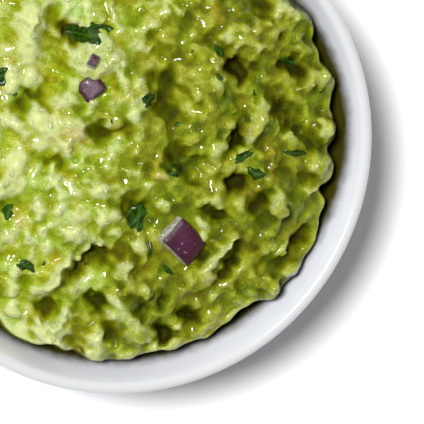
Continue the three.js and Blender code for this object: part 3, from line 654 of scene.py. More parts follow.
# Herb leaves: x, y, length, width, turn in degrees, height of the wave.
LEAVES = {
    "leaf_01": (-8.6, 27.6, 11.0, 5.2, 4, 0.8),
    "leaf_02": (21.6, 22.2, 4.2, 2.8, -50, 0.4),
    "leaf_03": (40.4, -2.6, 7.0, 1.9, -6, 0.3),
    "leaf_04": (27.6, -2.8, 5.6, 2.6, 35, 0.5),
    "leaf_05": (30.6, -6.6, 5.4, 3.0, -25, 0.5),
    "leaf_06": (2.4, -17.0, 7.4, 5.0, 75, 0.7),
    "leaf_07": (-27.8, -14.8, 4.8, 2.8, 70, 0.4),
    "leaf_08": (4.4, 11.4, 4.4, 3.6, 50, 0.5),
    "leaf_09": (39.0, 18.6, 6.0, 2.4, -15, 0.5),
    "leaf_10": (9.6, -29.2, 4.6, 1.6, -50, 0.3),
    "leaf_11": (5.0, -24.0, 4.6, 1.4, 95, 0.3),
    "leaf_12": (11.0, -5.6, 4.4, 3.2, 15, 0.4),
    "leaf_13": (-31.0, 17.0, 8.0, 4.2, 35, 0.7),
    "leaf_14": (-24.0, -28.0, 5.6, 3.2, -20, 0.5),
    "leaf_15": (-44.0, -20.0, 6.4, 3.4, 60, 0.6),
}
LEAF_FOLLOWS = 0.85  # how closely a leaf follows the lumps under it
LEAF_LIFT = 0.10
LEAF_SUNK = 0.95  # how far its edges lie in the mash
LEAF_THICKNESS = 0.25
LEAF_TIP = 0.12  # half its width at its tips
LEAF_GRID = (28, 10)  # faces along and across it
# Small flecks of herb: x, y, length, width, turn in degrees. The others are drawn at random.
FLECKS = [
    (-19.9, -27.0, 2.0, 0.9, 70),
    (-9.2, -28.2, 1.6, 0.9, 10),
    (-30.1, 6.6, 2.6, 1.6, 80),
    (-26.3, 13.0, 1.8, 1.2, 30),
    (21.4, 16.5, 3.4, 2.0, -40),
    (30.5, 12.2, 2.6, 0.9, -70),
    (11.8, 5.1, 2.2, 1.4, 20),
    (15.1, 22.4, 1.4, 0.7, 50),
    (-4.0, 6.5, 1.6, 0.8, 100),
]
FLECK_COUNT = 24
FLECK_REACH = 47.0  # how far out the drawn ones lie
FLECK_LENGTH = (1.4, 3.0)
FLECK_WIDTH = (0.7, 1.3)
FLECK_WAVE = 0.15
FLECK_GRID = (8, 4)

STAGE_SIZE = 3000.0  # half the width of the floor that the bowl stands on
# The camera's side and height as seen from the middle of the rim, in degrees, its distance from
# there, and the point at the rim's level that it looks at.
CAMERA_AZIMUTH = 140
CAMERA_ELEVATION = 78
CAMERA_DISTANCE = 700.0
CAMERA_AIM = (20.9, -16.6)


# ---------------------------------------------------------------- settings


def colour(name, description, default):
    return FloatVectorProperty(
        name=name, description=description, default=default, size=3, min=0.0, max=1.0, subtype="COLOR"
    )


class GUACAMOLE_PG_bowl(bpy.types.PropertyGroup):
    glaze: colour("Glaze", "Colour of the glazed porcelain", (0.925, 0.930, 0.985))
    # Painted shade: the lip is given a darker colour than the glaze, so that its upturned top, which takes
    # the most light, is no brighter than the wall.
    lip: colour("Lip", "Colour of the thinner glaze over the lip", (0.715, 0.715, 0.72))
    # Painted shadow: colour of the dark band painted on the wall in the gap beside the mash.
    smear: colour("Smear", "Colour of the oil and juice on the wall beside the mash", (0.060, 0.055, 0.004))
    speck: colour("Specks", "Colour of the faint specks in the glaze", (0.45, 0.43, 0.40))
    bisque: colour("Bisque", "Colour of the bare ring under the foot", (0.72, 0.68, 0.62))
    sides: IntProperty(name="Sides", description="Faces round the bowl", default=240, min=60, max=480)


class GUACAMOLE_PG_mash(bpy.types.PropertyGroup):
    flesh: colour("Flesh", "Main colour of the mashed avocado", (0.350, 0.375, 0.005))
    # Pale flesh of some lumps, also painted on the crests as painted highlights.
    pale: colour("Pale flesh", "Colour of the pale lumps", (0.64, 0.69, 0.20))
    green: colour("Green flesh", "Colour of the flesh near the peel", (0.225, 0.325, 0.008))
    amber: colour("Amber flesh", "Colour of the ripest streaks", (0.46, 0.37, 0.010))
    # Painted shade: what the flesh is dimmed by down the hollows.
    deep: colour("Deep flesh", "What dims the flesh down in the hollows", (0.30, 0.26, 0.10))
    rings: IntProperty(
        name="Rings", description="Rings of faces across the heap", default=165, min=40, max=170
    )
    warp: FloatProperty(name="Warp", description="How far lumps wander from round, in mm", default=1.4)
    lump_size: FloatProperty(name="Lump size", description="Width of a lump, in mm", default=4.8)
    lump_height: FloatProperty(name="Lump height", description="Height of a lump, in mm", default=1.25)
    curd_size: FloatProperty(name="Curd size", description="Width of a curd, in mm", default=2.6)
    curd_height: FloatProperty(name="Curd height", description="Height of a curd, in mm", default=0.52)
    nub_size: FloatProperty(name="Nub size", description="Width of a nub, in mm", default=1.3)
    nub_height: FloatProperty(name="Nub height", description="Height of a nub, in mm", default=0.20)
    loose_smallest: FloatProperty(name="Smallest loose nub", description="Its radius in mm", default=0.35)
    loose_largest: FloatProperty(name="Largest loose nub", description="Its radius in mm", default=0.80)
    loose_spacing: FloatProperty(
        name="Spacing", description="Least distance between loose nubs, in mm", default=3.0
    )
    soften: IntProperty(name="Soften", description="Rounds of smoothing of the lumps", default=3)
    seed: IntProperty(name="Seed", description="Draw of the lumps and nubs", default=7)


class GUACAMOLE_PG_onion(bpy.types.PropertyGroup):
    skin: colour("Skin", "Colour of the dice's purple face", (0.062, 0.011, 0.028))
    bloom: colour("Bloom", "Colour of the brighter middle of that face", (0.11, 0.014, 0.060))
    # Partly painted glints: pale dots on the purple face, standing for specks of mash and for glints.
    speck_and_glint_dots: colour("Dots", "Colour of the pale dots on that face", (0.42, 0.34, 0.30))
    flesh: colour("Flesh", "Colour of the layers below", (0.46, 0.44, 0.35))
    dull: colour("Dull flesh", "Colour of the wet patches in them", (0.22, 0.21, 0.12))
    band: colour("Bands", "Colour of the lines between them", (0.30, 0.26, 0.13))
    # Painted sparkle: pale specks on the wet cut flesh stand for its glints.
    flesh_sparkle: colour("Crisp flesh", "Colour of their palest patches", (0.80, 0.80, 0.74))


class GUACAMOLE_PG_herb(bpy.types.PropertyGroup):
    leaf: colour("Leaf", "Colour of the leaves", (0.015, 0.046, 0.002))
    vein: colour("Vein", "Colour of the veins", (0.07, 0.20, 0.015))
    flecks: IntProperty(name="Flecks", description="Draw of the small flecks", default=3)


class GUACAMOLE_PG_stage(bpy.types.PropertyGroup):
    key_strength: FloatProperty(name="Key strength", description="Strength of the main light", default=3.6)
    key_colour: colour("Key colour", "Colour of the main light", (0.97, 0.985, 1.0))
    key_azimuth: FloatProperty(
        name="Key azimuth",
        description="Side the main light comes from",
        default=math.radians(145),
        subtype="ANGLE",
    )
    key_elevation: FloatProperty(
        name="Key elevation",
        description="Height of the main light",
        default=math.radians(64.5),
        subtype="ANGLE",
    )
    key_angle: FloatProperty(
        name="Key width", description="Width of the main light", default=math.radians(11), subtype="ANGLE"
    )
    fill: FloatProperty(name="Fill", description="Light from all round", default=0.17)
    lens: FloatProperty(name="Lens", description="Focal length in mm", default=252.8)


# ---------------------------------------------------------------- helpers for nodes and meshes


def connect(tree, node, inputs):
    """Links or sets each of the inputs named."""
    for key, value in inputs.items():
        socket = node.inputs[key]
        if isinstance(value, bpy.types.NodeSocket):
            tree.links.new(value, socket)
        else:
            socket.default_value = value


def add(tree, kind, inputs=None, **settings):
    """A new node with its settings, and each input linked or set."""
    node = tree.nodes.new(kind)
    for key, value in settings.items():
        setattr(node, key, value)
    connect(tree, node, inputs or {})
    return node


class Sums:
    """Short ways to write arithmetic in a node tree."""

    def __init__(self, tree):
        self.tree = tree

    def math(self, operation, a, b=0.0, c=0.0, clamp=False):
        node = add(self.tree, "ShaderNodeMath", {0: a, 1: b, 2: c}, operation=operation, use_clamp=clamp)
        return node.outputs[0]

    def plus(self, a, b):
        return self.math("ADD", a, b)

    def minus(self, a, b):
        return self.math("SUBTRACT", a, b)

    def times(self, a, b):
        return self.math("MULTIPLY", a, b)

    def vector(self, operation, a, b=(0, 0, 0)):
        node = add(self.tree, "ShaderNodeVectorMath", {0: a, 1: b}, operation=operation)
        return node.outputs[0]

    def scale(self, a, factor):
        node = add(self.tree, "ShaderNodeVectorMath", {0: a, "Scale": factor}, operation="SCALE")
        return node.outputs[0]

    def split(self, vector):
        return add(self.tree, "ShaderNodeSeparateXYZ", {0: vector}).outputs

    def grey(self, value):
        return add(self.tree, "ShaderNodeCombineColor", {0: value, 1: value, 2: value}).outputs[0]

    def noise(self, at, scale, detail=2.0, roughness=0.5, output=0):
        node = add(
            self.tree,
            "ShaderNodeTexNoise",
            {"Vector": at, "Scale": scale, "Detail": detail, "Roughness": roughness},
        )
        return node.outputs[output]

    def sway(self, at, scale, amount, detail=2.0, roughness=0.5):
        """Noise on both sides of 0."""
        return self.times(self.minus(self.noise(at, scale, detail, roughness), 0.5), amount)

    def drift(self, at, scale, detail):
        """A noise vector on both sides of 0."""
        return self.vector("SUBTRACT", self.noise(at, scale, detail, 0.5, 1), (0.5, 0.5, 0.5))

    def cells(self, at, scale, feature="F1", output="Distance"):
        node = add(self.tree, "ShaderNodeTexVoronoi", {"Vector": at, "Scale": scale}, feature=feature)
        return node.outputs[output]

    def ramp(self, value, low, high, to_low=0.0, to_high=1.0, smooth=True):
        node = add(
            self.tree,
            "ShaderNodeMapRange",
            {"Value": value, "From Min": low, "From Max": high, "To Min": to_low, "To Max": to_high},
            interpolation_type="SMOOTHSTEP" if smooth else "LINEAR",
        )
        return node.outputs[0]

    def mix(self, factor, a, b, blend="MIX"):
        node = add(
            self.tree,
            "ShaderNodeMix",
            {0: factor, 6: a, 7: b},
            data_type="RGBA",
            blend_type=blend,
            clamp_factor=True,
        )
        return node.outputs[2]


def new_tree(name, kind, sockets):
    """A node group whose inputs and outputs are the (name, in or out, kind, default) listed."""
    tree = bpy.data.node_groups.new(name, kind)
    for label, way, socket_kind, default in sockets:
        item = tree.interface.new_socket(label, in_out=way, socket_type=socket_kind)
        if default is not None:
            item.default_value = default
    return tree


def run_nodes(obj, tree, values):
    """Makes the tree's result on obj its plain mesh."""
    modifier = obj.modifiers.new("Nodes", "NODES")
    modifier.node_group = tree
    for item in tree.interface.items_tree:
        if item.in_out == "INPUT" and item.name in values:
            modifier[item.identifier] = values[item.name]
    bpy.context.view_layer.update()
    evaluated = obj.evaluated_get(bpy.context.evaluated_depsgraph_get())
    mesh = bpy.data.meshes.new_from_object(evaluated)
    obj.modifiers.remove(modifier)
    old = obj.data
    obj.data = mesh
    bpy.data.meshes.remove(old)
    obj.data.name = obj.name


def linked_object(name, data):
    obj = bpy.data.objects.new(name, data)
    bpy.context.scene.collection.objects.link(obj)
    return obj


def new_object(name, vertices, faces, smooth=True):
    mesh = bpy.data.meshes.new(name)
    mesh.from_pydata(vertices, [], faces)
    mesh.validate()
    mesh.shade_smooth() if smooth else mesh.shade_flat()
    return linked_object(name, mesh)


def outward(obj):
    """Turns the faces outwards."""
    work = bmesh.new()
    work.from_mesh(obj.data)
    bmesh.ops.recalc_face_normals(work, faces=work.faces)
    work.to_mesh(obj.data)
    work.free()


def finish_piece(obj, nodes, material=None):
    """Gives a finished piece its material and its place in the part."""
    if material is not None:
        obj.data.materials.clear()
        obj.data.materials.append(material)
    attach(obj, BODY)
    if nodes:
        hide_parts(*nodes)


def set_attribute(mesh, name, values):
    """Gives each of the mesh's points a value under a name."""
    data = mesh.attributes.get(name) or mesh.attributes.new(name, "FLOAT", "POINT")
    data.data.foreach_set("value", np.asarray(values, np.float32))


def coordinates(mesh):
    """The mesh's points in metres."""
    flat = np.empty(len(mesh.vertices) * 3, np.float32)
    mesh.vertices.foreach_get("co", flat)
    return flat.reshape(-1, 3).astype(float)


# ---------------------------------------------------------------- profiles


def bezier(points, count):
    """Points along a curve from the first point to the last, pulled towards the two between them."""
    t = np.linspace(0, 1, count)[:, None]
    p = np.asarray(points, float)
    return (1 - t) ** 3 * p[0] + 3 * (1 - t) ** 2 * t * p[1] + 3 * (1 - t) * t**2 * p[2] + t**3 * p[3]


def inside_profile(count):
    """Radius and height down the inside of the wall, from the lip to the floor."""
    top = (RIM_RADIUS - LIP + 0.15, LIP_BASE + 0.7)
    return bezier([top, *WALL_PULLS, (FLOOR_RADIUS, FLOOR)], count)


WALL = inside_profile(60)[::-1]


def wall_radius(height):
    """Inside radius of the bowl at a height, and just above the lip too."""
    return np.interp(height, WALL[:, 1], WALL[:, 0])


def wall_height(radius):
    return np.interp(radius, WALL[:, 0], WALL[:, 1])


def bowl_profile():
    """Radius and height from the middle underneath, round the foot and over the lip, to the floor."""
    inner, middle, outer = FOOT_RADIUS - FOOT_WIDTH, FOOT_RADIUS - FOOT_WIDTH / 2, FOOT_RADIUS
    foot = [
        (0, FOOT_HEIGHT),
        (inner - 13, FOOT_HEIGHT),
        (inner - 1.4, FOOT_HEIGHT),
        (inner - 0.4, FOOT_HEIGHT - 0.3),
        (inner, FOOT_HEIGHT - 1.0),
        (inner + 0.1, 1.4),
        (inner + 0.2, 0.6),
        (inner + 0.35, 0.2),
        (inner + 0.8, 0.0),
        (middle, 0.0),
        (outer - 0.8, 0.0),
        (outer - 0.3, 0.2),
        (outer - 0.1, 0.6),
        (outer, 1.6),
        (outer + 0.15, FOOT_HEIGHT - 0.5),
    ]
    belly = bezier([(outer + 0.5, FOOT_HEIGHT), *BELLY_PULLS, (RIM_RADIUS, LIP_BASE)], WALL_ROWS)
    angles = np.linspace(0, math.radians(LIP_TURN), LIP_ROWS)[1:-1]
    out = np.maximum(np.cos(angles), 0) ** LIP_FLATNESS + np.minimum(np.cos(angles), 0)
    rise = np.where(angles < math.pi / 2, np.sin(angles) ** LIP_FLATNESS, np.sin(angles))
    lip = np.column_stack([RIM_RADIUS - LIP / 2 + LIP / 2 * out, LIP_BASE + LIP / 2 * rise])
    return [*foot, *belly, *lip, *inside_profile(WALL_ROWS), (10, FLOOR), (0, FLOOR)]


def turned(profile, sides):
    """Vertices and faces of a profile turned about the upright axis, its ends closed on the axis."""
    vertices, faces = [], []
    rows = []
    for radius, height in profile:
        if radius == 0:
            rows.append([len(vertices)] * sides)
            vertices.append((0, 0, height * MM))
            continue
        start = len(vertices)
        for side in range(sides):
            angle = 2 * math.pi * side / sides
            vertices.append((radius * math.cos(angle) * MM, radius * math.sin(angle) * MM, height * MM))
        rows.append(list(range(start, start + sides)))
    for low, high in zip(rows, rows[1:]):
        for side in range(sides):
            after = (side + 1) % sides
            corners = [low[side], low[after], high[after], high[side]]
            face = [c for i, c in enumerate(corners) if c not in corners[:i]]
            faces.append(face)
    return vertices, faces


# ---------------------------------------------------------------- the heap's own level


def hex_disk(rings, radius):
    """Points and triangles of a disk of even triangles, and where its outer ring starts."""
    ring = np.repeat(np.arange(rings + 1), [max(1, 6 * k) for k in range(rings + 1)])
    place = np.concatenate([np.arange(max(1, 6 * k)) for k in range(rings + 1)])
    angle = 2 * np.pi * place / np.maximum(6 * ring, 1)
    points = np.column_stack([np.cos(angle), np.sin(angle)]) * (radius * ring / rings)[:, None]

    def first(k):
        return 0 if k == 0 else 1 + 3 * k * (k - 1)

    triangles = []
    for k in range(1, rings + 1):
        outer_count, inner_count = 6 * k, max(1, 6 * (k - 1))
        sector = np.repeat(np.arange(6), k)
        step = np.tile(np.arange(k), 6)
        outer = first(k) + (sector * k + step) % outer_count
        outer_next = first(k) + (sector * k + step + 1) % outer_count
        inner = first(k - 1) + (sector * (k - 1) + step) % inner_count
        triangles.append(np.column_stack([outer, outer_next, inner]))
        keep = step < k - 1
        inner_next = first(k - 1) + (sector * (k - 1) + step + 1) % inner_count
        triangles.append(np.column_stack([outer_next, inner_next, inner])[keep])
    return points, np.concatenate(triangles), first(rings)


def edge_pairs(triangles):
    """The two ends of each edge, once each."""
    pairs = np.concatenate([triangles[:, [0, 1]], triangles[:, [1, 2]], triangles[:, [2, 0]]])
    pairs = np.sort(pairs, axis=1)
    return np.unique(pairs, axis=0)


def spread(values, pairs, rounds):
    """values moved half way to their neighbours' mean along the edges, a number of rounds."""
    count = len(values)
    degree = np.bincount(pairs.ravel(), minlength=count).astype(float)
    for _ in range(rounds):
        total = np.bincount(pairs[:, 0], values[pairs[:, 1]], count)
        total += np.bincount(pairs[:, 1], values[pairs[:, 0]], count)
        values = values + 0.5 * (total / degree - values)
    return values


def oval_reach(points, oval):
    """1 in the middle of an oval, falling to 0 at its edge and below beyond it."""
    x, y, half_length, half_width, turn = oval[:5]
    angle = math.radians(turn)
    dx, dy = points[:, 0] - x, points[:, 1] - y
    along = (dx * math.cos(angle) + dy * math.sin(angle)) / half_length
    across = (-dx * math.sin(angle) + dy * math.cos(angle)) / half_width
    return 1 - along**2 - across**2


def patches(points, ovals):
    """The strongest of the soft-edged patches at each point."""
    most = np.zeros(len(points))
    for oval in ovals:
        soft = np.clip(oval_reach(points, oval) + PATCH_SOFTNESS, 0, 1)
        most = np.maximum(most, oval[5] * soft * soft * (3 - 2 * soft))
    return most


def smooth_step(value, low, high):
    share = np.clip((value - low) / (high - low), 0, 1)
    return share * share * (3 - 2 * share)


def fading(points, ovals):
    """Sum of ovals that fade past their edges."""
    total = np.zeros(len(points))
    for oval in ovals:
        outward_share = 1 - oval_reach(points, oval)
        total += oval[5] * np.exp(-FADE_RATE * outward_share**FADE_POWER)
    return total


def domed(points, ovals, power):
    """The highest of the domes at each point."""
    highest = np.zeros(len(points))
    for oval in ovals:
        away = np.hypot(points[:, 0] - oval[0], points[:, 1] - oval[1])
        near = np.flatnonzero(away < max(oval[2], oval[3]))
        inside = np.clip(oval_reach(points[near], oval), 0, 1)
        highest[near] = np.maximum(highest[near], oval[5] * inside**power)
    return highest


def softened(depth):
    """The domes of the pits with a gentle edge and a round bottom."""
    share = np.clip(depth / PIT_DEEPEST, 0, 1)
    return PIT_DEEPEST * share * (0.25 + 1.5 * share - 0.75 * share * share)


def wavering(points):
    """The points shifted a little to and fro, so that what is drawn with them gets an uneven outline."""
    x, y = points[:, 0], points[:, 1]
    shift_x = np.sin(0.83 * y + 1.9 * np.sin(0.41 * x + 0.6)) + 0.6 * np.sin(1.9 * y + 1.3 * x)
    shift_y = np.sin(0.91 * x + 2.1 * np.sin(0.37 * y + 2.1)) + 0.6 * np.sin(2.1 * x - 1.2 * y)
    return points + WAVER * np.column_stack([shift_x, shift_y])


def lump_draw(i, j, stream):
    """A repeatable draw between 0 and 1 for whole numbers i and j."""
    value = math.sin(i * 127.1 + j * 311.7 + stream * 74.7 + LUMP_SEED) * 43758.5453
    return value - math.floor(value)


def unseen_lumps():
    """Soft lumps of the left and the back of the heap, as ovals."""
    row_height = LUMP_SPACING * math.sqrt(0.75)
    lumps = []
    for i in range(-LUMP_COLUMNS, LUMP_COLUMNS + 1):
        for j in range(-LUMP_ROWS, LUMP_ROWS + 1):
            x = (i + 0.5 * (j % 2)) * LUMP_SPACING + (lump_draw(i, j, 1) - 0.5) * 2 * LUMP_JITTER
            y = j * row_height + (lump_draw(i, j, 2) - 0.5) * 2 * LUMP_JITTER
            radius = LUMP_RADIUS[0] + (LUMP_RADIUS[1] - LUMP_RADIUS[0]) * lump_draw(i, j, 3)
            rise = LUMP_RISE[0] + (LUMP_RISE[1] - LUMP_RISE[0]) * lump_draw(i, j, 4)
            if x <= LUMPS_LEFT_OF or y >= LUMPS_BEHIND:
                lumps.append((x, y, radius, radius, 0, rise))
    return lumps


def swollen(values, azimuth, turns):
    """values with each turn listed added: its middle and half spread in degrees, and how much."""
    for middle, half_spread, more in turns:
        away = (azimuth - middle + 540) % 360 - 180
        values = values + more * np.exp(-((away / half_spread) ** 2))
    return values


def side_drop(points):
    """How far the heap's side has dropped at each point."""
    azimuth = np.degrees(np.arctan2(points[:, 1], points[:, 0]))
    edge = swollen(np.full(len(points), SIDE_RADIUS), azimuth, SIDE_TURNS)
    radius = np.hypot(points[:, 0], points[:, 1])
    return SIDE_DROP * smooth_step(radius, edge - SIDE_WITHIN, edge + SIDE_BEYOND)


def dice_seats(points):
    """How far the onion dice press in, as a share of the depth, fading just past their sides."""
    seats = np.zeros(len(points))
    for node, (length, width, *_, slant) in ONION_DICE.items():
        low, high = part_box(node)
        x, y = (low[0] + high[0]) / 2 / MM, (low[1] + high[1]) / 2 / MM
        away = np.hypot(points[:, 0] - x, points[:, 1] - y) / (SEAT_WIDTH * (length + width))
        seats = np.maximum(seats, (SEAT_LEAST + (1 - SEAT_LEAST) * slant) * np.exp(-(away**4)))
    return seats


def heap_level(points):
    """Height of the heap in mm, before the small lumps."""
    radius = np.hypot(points[:, 0], points[:, 1])
    azimuth = np.arctan2(points[:, 1], points[:, 0])
    brim = HEAP_BRIM + BRIM_LEAN * np.cos(azimuth - math.radians(BRIM_HIGHEST))
    level = RIM_HEIGHT + HEAP_CROWN - (HEAP_CROWN - brim) * (radius / BRIM_RADIUS) ** HEAP_POWER
    uneven = wavering(points)
    level += fading(uneven, CRESTS) - HOLLOW_DEPTH * fading(uneven, HOLLOWS) - side_drop(points)
    level += domed(uneven, CURDS + unseen_lumps(), 0.5) - PIT_DEPTH * softened(domed(uneven, PITS, 1.0))
    return level - SEAT_DEPTH * dice_seats(points)


# ---------------------------------------------------------------- node trees for the mash


def named_attribute(tree, name):
    return add(tree, "GeometryNodeInputNamedAttribute", {"Name": name}, data_type="FLOAT").outputs[0]


def relief_tree():
    """Displaces the mash along its normals into lumps, curds on the lumps and nubs on the curds."""
    tree = new_tree(
        "Mash relief",
        "GeometryNodeTree",
        [
            ("Geometry", "INPUT", "NodeSocketGeometry", None),
            ("Draw", "INPUT", "NodeSocketVector", (0.0, 0.0, 0.0)),
            ("Warp", "INPUT", "NodeSocketFloat", 1.4),
            ("Lump size", "INPUT", "NodeSocketFloat", 4.8),
            ("Lump height", "INPUT", "NodeSocketFloat", 1.25),
            ("Curd size", "INPUT", "NodeSocketFloat", 2.6),
            ("Curd height", "INPUT", "NodeSocketFloat", 0.52),
            ("Nub size", "INPUT", "NodeSocketFloat", 1.3),
            ("Nub height", "INPUT", "NodeSocketFloat", 0.20),
            ("Geometry", "OUTPUT", "NodeSocketGeometry", None),
        ],
    )
    do = Sums(tree)
    given = add(tree, "NodeGroupInput").outputs
    place = add(tree, "GeometryNodeInputPosition").outputs[0]
    normal = add(tree, "GeometryNodeInputNormal").outputs[0]
    at = do.vector("ADD", do.scale(place, 1 / MM), given["Draw"])

    def warped(vector, scale, amount):
        return do.vector("ADD", vector, do.scale(do.drift(vector, scale, 1.0), do.times(amount, 2.0)))

    def domes(vector, size, height):
        """Round domes over the cells of a pattern, each as high as it was drawn."""
        inverse = do.math("DIVIDE", 1.0, size)
        share = do.math("DIVIDE", do.cells(vector, inverse), 0.72)
        round_top = do.math("SQRT", do.math("SUBTRACT", 1.0, do.times(share, share), clamp=True))
        drawn = do.split(do.cells(vector, inverse, output="Color"))[0]
        rise = do.ramp(drawn, 0.0, 1.0, 0.3, 1.0, smooth=False)
        return do.times(do.times(round_top, rise), height)

    wide = warped(at, 0.22, given["Warp"])
    middling = warped(wide, 0.5, do.times(given["Warp"], 0.6))
    narrow = warped(middling, 0.9, do.times(given["Warp"], 0.35))
    lumpy = do.ramp(do.noise(at, 0.12, 1.0), 0.36, 0.60, 0.35, 1.0)
    nubbly = do.ramp(do.noise(at, 0.16, 1.0, 0.5, 1), 0.40, 0.60, 0.2, 1.0)
    lift = domes(wide, given["Lump size"], given["Lump height"])
    lift = do.plus(lift, domes(middling, given["Curd size"], do.times(given["Curd height"], lumpy)))
    lift = do.plus(lift, domes(narrow, given["Nub size"], do.times(given["Nub height"], nubbly)))
    lift = do.plus(lift, do.sway(at, 0.35, 1.6))
    lift = do.minus(lift, do.times(given["Lump height"], 0.6))
    lift = do.times(do.times(lift, named_attribute(tree, "carve")), MM)
    moved = add(
        tree, "GeometryNodeSetPosition", {"Geometry": given["Geometry"], "Offset": do.scale(normal, lift)}
    )
    plain = add(tree, "GeometryNodeRealizeInstances", {0: moved.outputs[0]})
    add(tree, "NodeGroupOutput", {0: plain.outputs[0]})
    return tree


def nub_tree():
    """Scatters loose nubs over a surface where it has room, each squeezed and dented in its own way."""
    tree = new_tree(
        "Loose nubs",
        "GeometryNodeTree",
        [
            ("Geometry", "INPUT", "NodeSocketGeometry", None),
            ("Density", "INPUT", "NodeSocketFloat", 400000.0),
            ("Spacing", "INPUT", "NodeSocketFloat", 3.0),
            ("Smallest", "INPUT", "NodeSocketFloat", 0.35),
            ("Largest", "INPUT", "NodeSocketFloat", 0.80),
            ("Dent", "INPUT", "NodeSocketFloat", 0.35),
            ("Seed", "INPUT", "NodeSocketInt", 1),
            ("Material", "INPUT", "NodeSocketMaterial", None),
            ("Geometry", "OUTPUT", "NodeSocketGeometry", None),
        ],
    )
    do = Sums(tree)
    given = add(tree, "NodeGroupInput").outputs
    scattered = add(
        tree,
        "GeometryNodeDistributePointsOnFaces",
        {
            "Mesh": given["Geometry"],
            "Distance Min": do.times(given["Spacing"], MM),
            "Density Max": given["Density"],
            "Density Factor": named_attribute(tree, "room"),
            "Seed": given["Seed"],
        },
        distribute_method="POISSON",
    )
    ball = add(tree, "GeometryNodeMeshIcoSphere", {"Radius": MM, "Subdivisions": 2})

    def drawn(kind, low, high, seed):
        """A random value between low and high for each nub."""
        first = {"FLOAT_VECTOR": 0, "FLOAT": 2}[kind]
        node = add(
            tree, "FunctionNodeRandomValue", {first: low, first + 1: high, "Seed": seed}, data_type=kind
        )
        return node.outputs[first // 2]

    size = drawn("FLOAT", given["Smallest"], given["Largest"], given["Seed"])
    squeeze = drawn("FLOAT_VECTOR", SLIMMEST_NUB, FATTEST_NUB, 11)
    turn = drawn("FLOAT", 0.0, 2 * math.pi, 5)
    spin = add(tree, "FunctionNodeAxisAngleToRotation", {"Axis": (0, 0, 1), "Angle": turn})
    facing = add(
        tree,
        "FunctionNodeRotateRotation",
        {"Rotation": scattered.outputs["Rotation"], "Rotate By": spin.outputs[0]},
        rotation_space="LOCAL",
    )
    placed = add(
        tree,
        "GeometryNodeInstanceOnPoints",
        {
            "Points": scattered.outputs["Points"],
            "Instance": ball.outputs["Mesh"],
            "Rotation": facing.outputs[0],
            "Scale": do.scale(squeeze, size),
        },
    )
    plain = add(tree, "GeometryNodeRealizeInstances", {0: placed.outputs[0]})
    at = do.scale(add(tree, "GeometryNodeInputPosition").outputs[0], 1 / MM)
    offset = do.scale(do.drift(at, 0.9, 1.0), do.times(given["Dent"], 2.0 * MM))
    moved = add(tree, "GeometryNodeSetPosition", {"Geometry": plain.outputs[0], "Offset": offset})
    smooth = add(tree, "GeometryNodeSetShadeSmooth", {"Geometry": moved.outputs[0]})
    dressed = add(
        tree, "GeometryNodeSetMaterial", {"Geometry": smooth.outputs[0], "Material": given["Material"]}
    )
    add(tree, "NodeGroupOutput", {0: dressed.outputs[0]})
    return tree


# ---------------------------------------------------------------- materials


def place_in_mm(tree):
    return Sums(tree).scale(add(tree, "ShaderNodeTexCoord").outputs["Object"], 1 / MM)


def wet_film_group():
    """Fine unevenness of a wet surface, as a height, and where the film of oil and juice lies."""
    name = "Wet film"
    if name in bpy.data.node_groups:
        return bpy.data.node_groups[name]
    tree = new_tree(
        name,
        "ShaderNodeTree",
        [
            ("Grain", "INPUT", "NodeSocketFloat", 1.6),
            ("Height", "OUTPUT", "NodeSocketFloat", None),
            ("Wetness", "OUTPUT", "NodeSocketFloat", None),
        ],
    )
    do = Sums(tree)
    grain = add(tree, "NodeGroupInput").outputs["Grain"]
    at = place_in_mm(tree)
    fine = do.noise(at, do.times(grain, 1.9), 3.0, 0.6)
    height = do.plus(do.times(do.cells(at, grain, "SMOOTH_F1"), -0.7), fine)
    wet = do.ramp(do.noise(at, 0.35), 0.33, 0.52)
    add(tree, "NodeGroupOutput", {"Height": height, "Wetness": wet})
    return tree


def wet_film(tree, grain):
    return add(tree, "ShaderNodeGroup", {"Grain": grain}, node_tree=wet_film_group()).outputs


def bumped(tree, height, distance, strength):
    """The normals of a surface with small bumps, their size in mm."""
    inputs = {"Height": height, "Distance": distance * MM, "Strength": strength}
    return add(tree, "ShaderNodeBump", inputs).outputs[0]


def new_material(name):
    """A material, what it is made with, and the place of a point on it in mm."""
    material = bpy.data.materials.new(name)
    material.use_nodes = True
    tree = material.node_tree
    tree.nodes.clear()
    shader = add(tree, "ShaderNodeBsdfPrincipled")
    add(tree, "ShaderNodeOutputMaterial", {"Surface": shader.outputs[0]})
    return material, tree, shader, Sums(tree), place_in_mm(tree)


def rgba(values):
    return (*values, 1.0)


def read_attribute(tree, name):
    return add(tree, "ShaderNodeAttribute", attribute_name=name, attribute_type="GEOMETRY").outputs["Fac"]


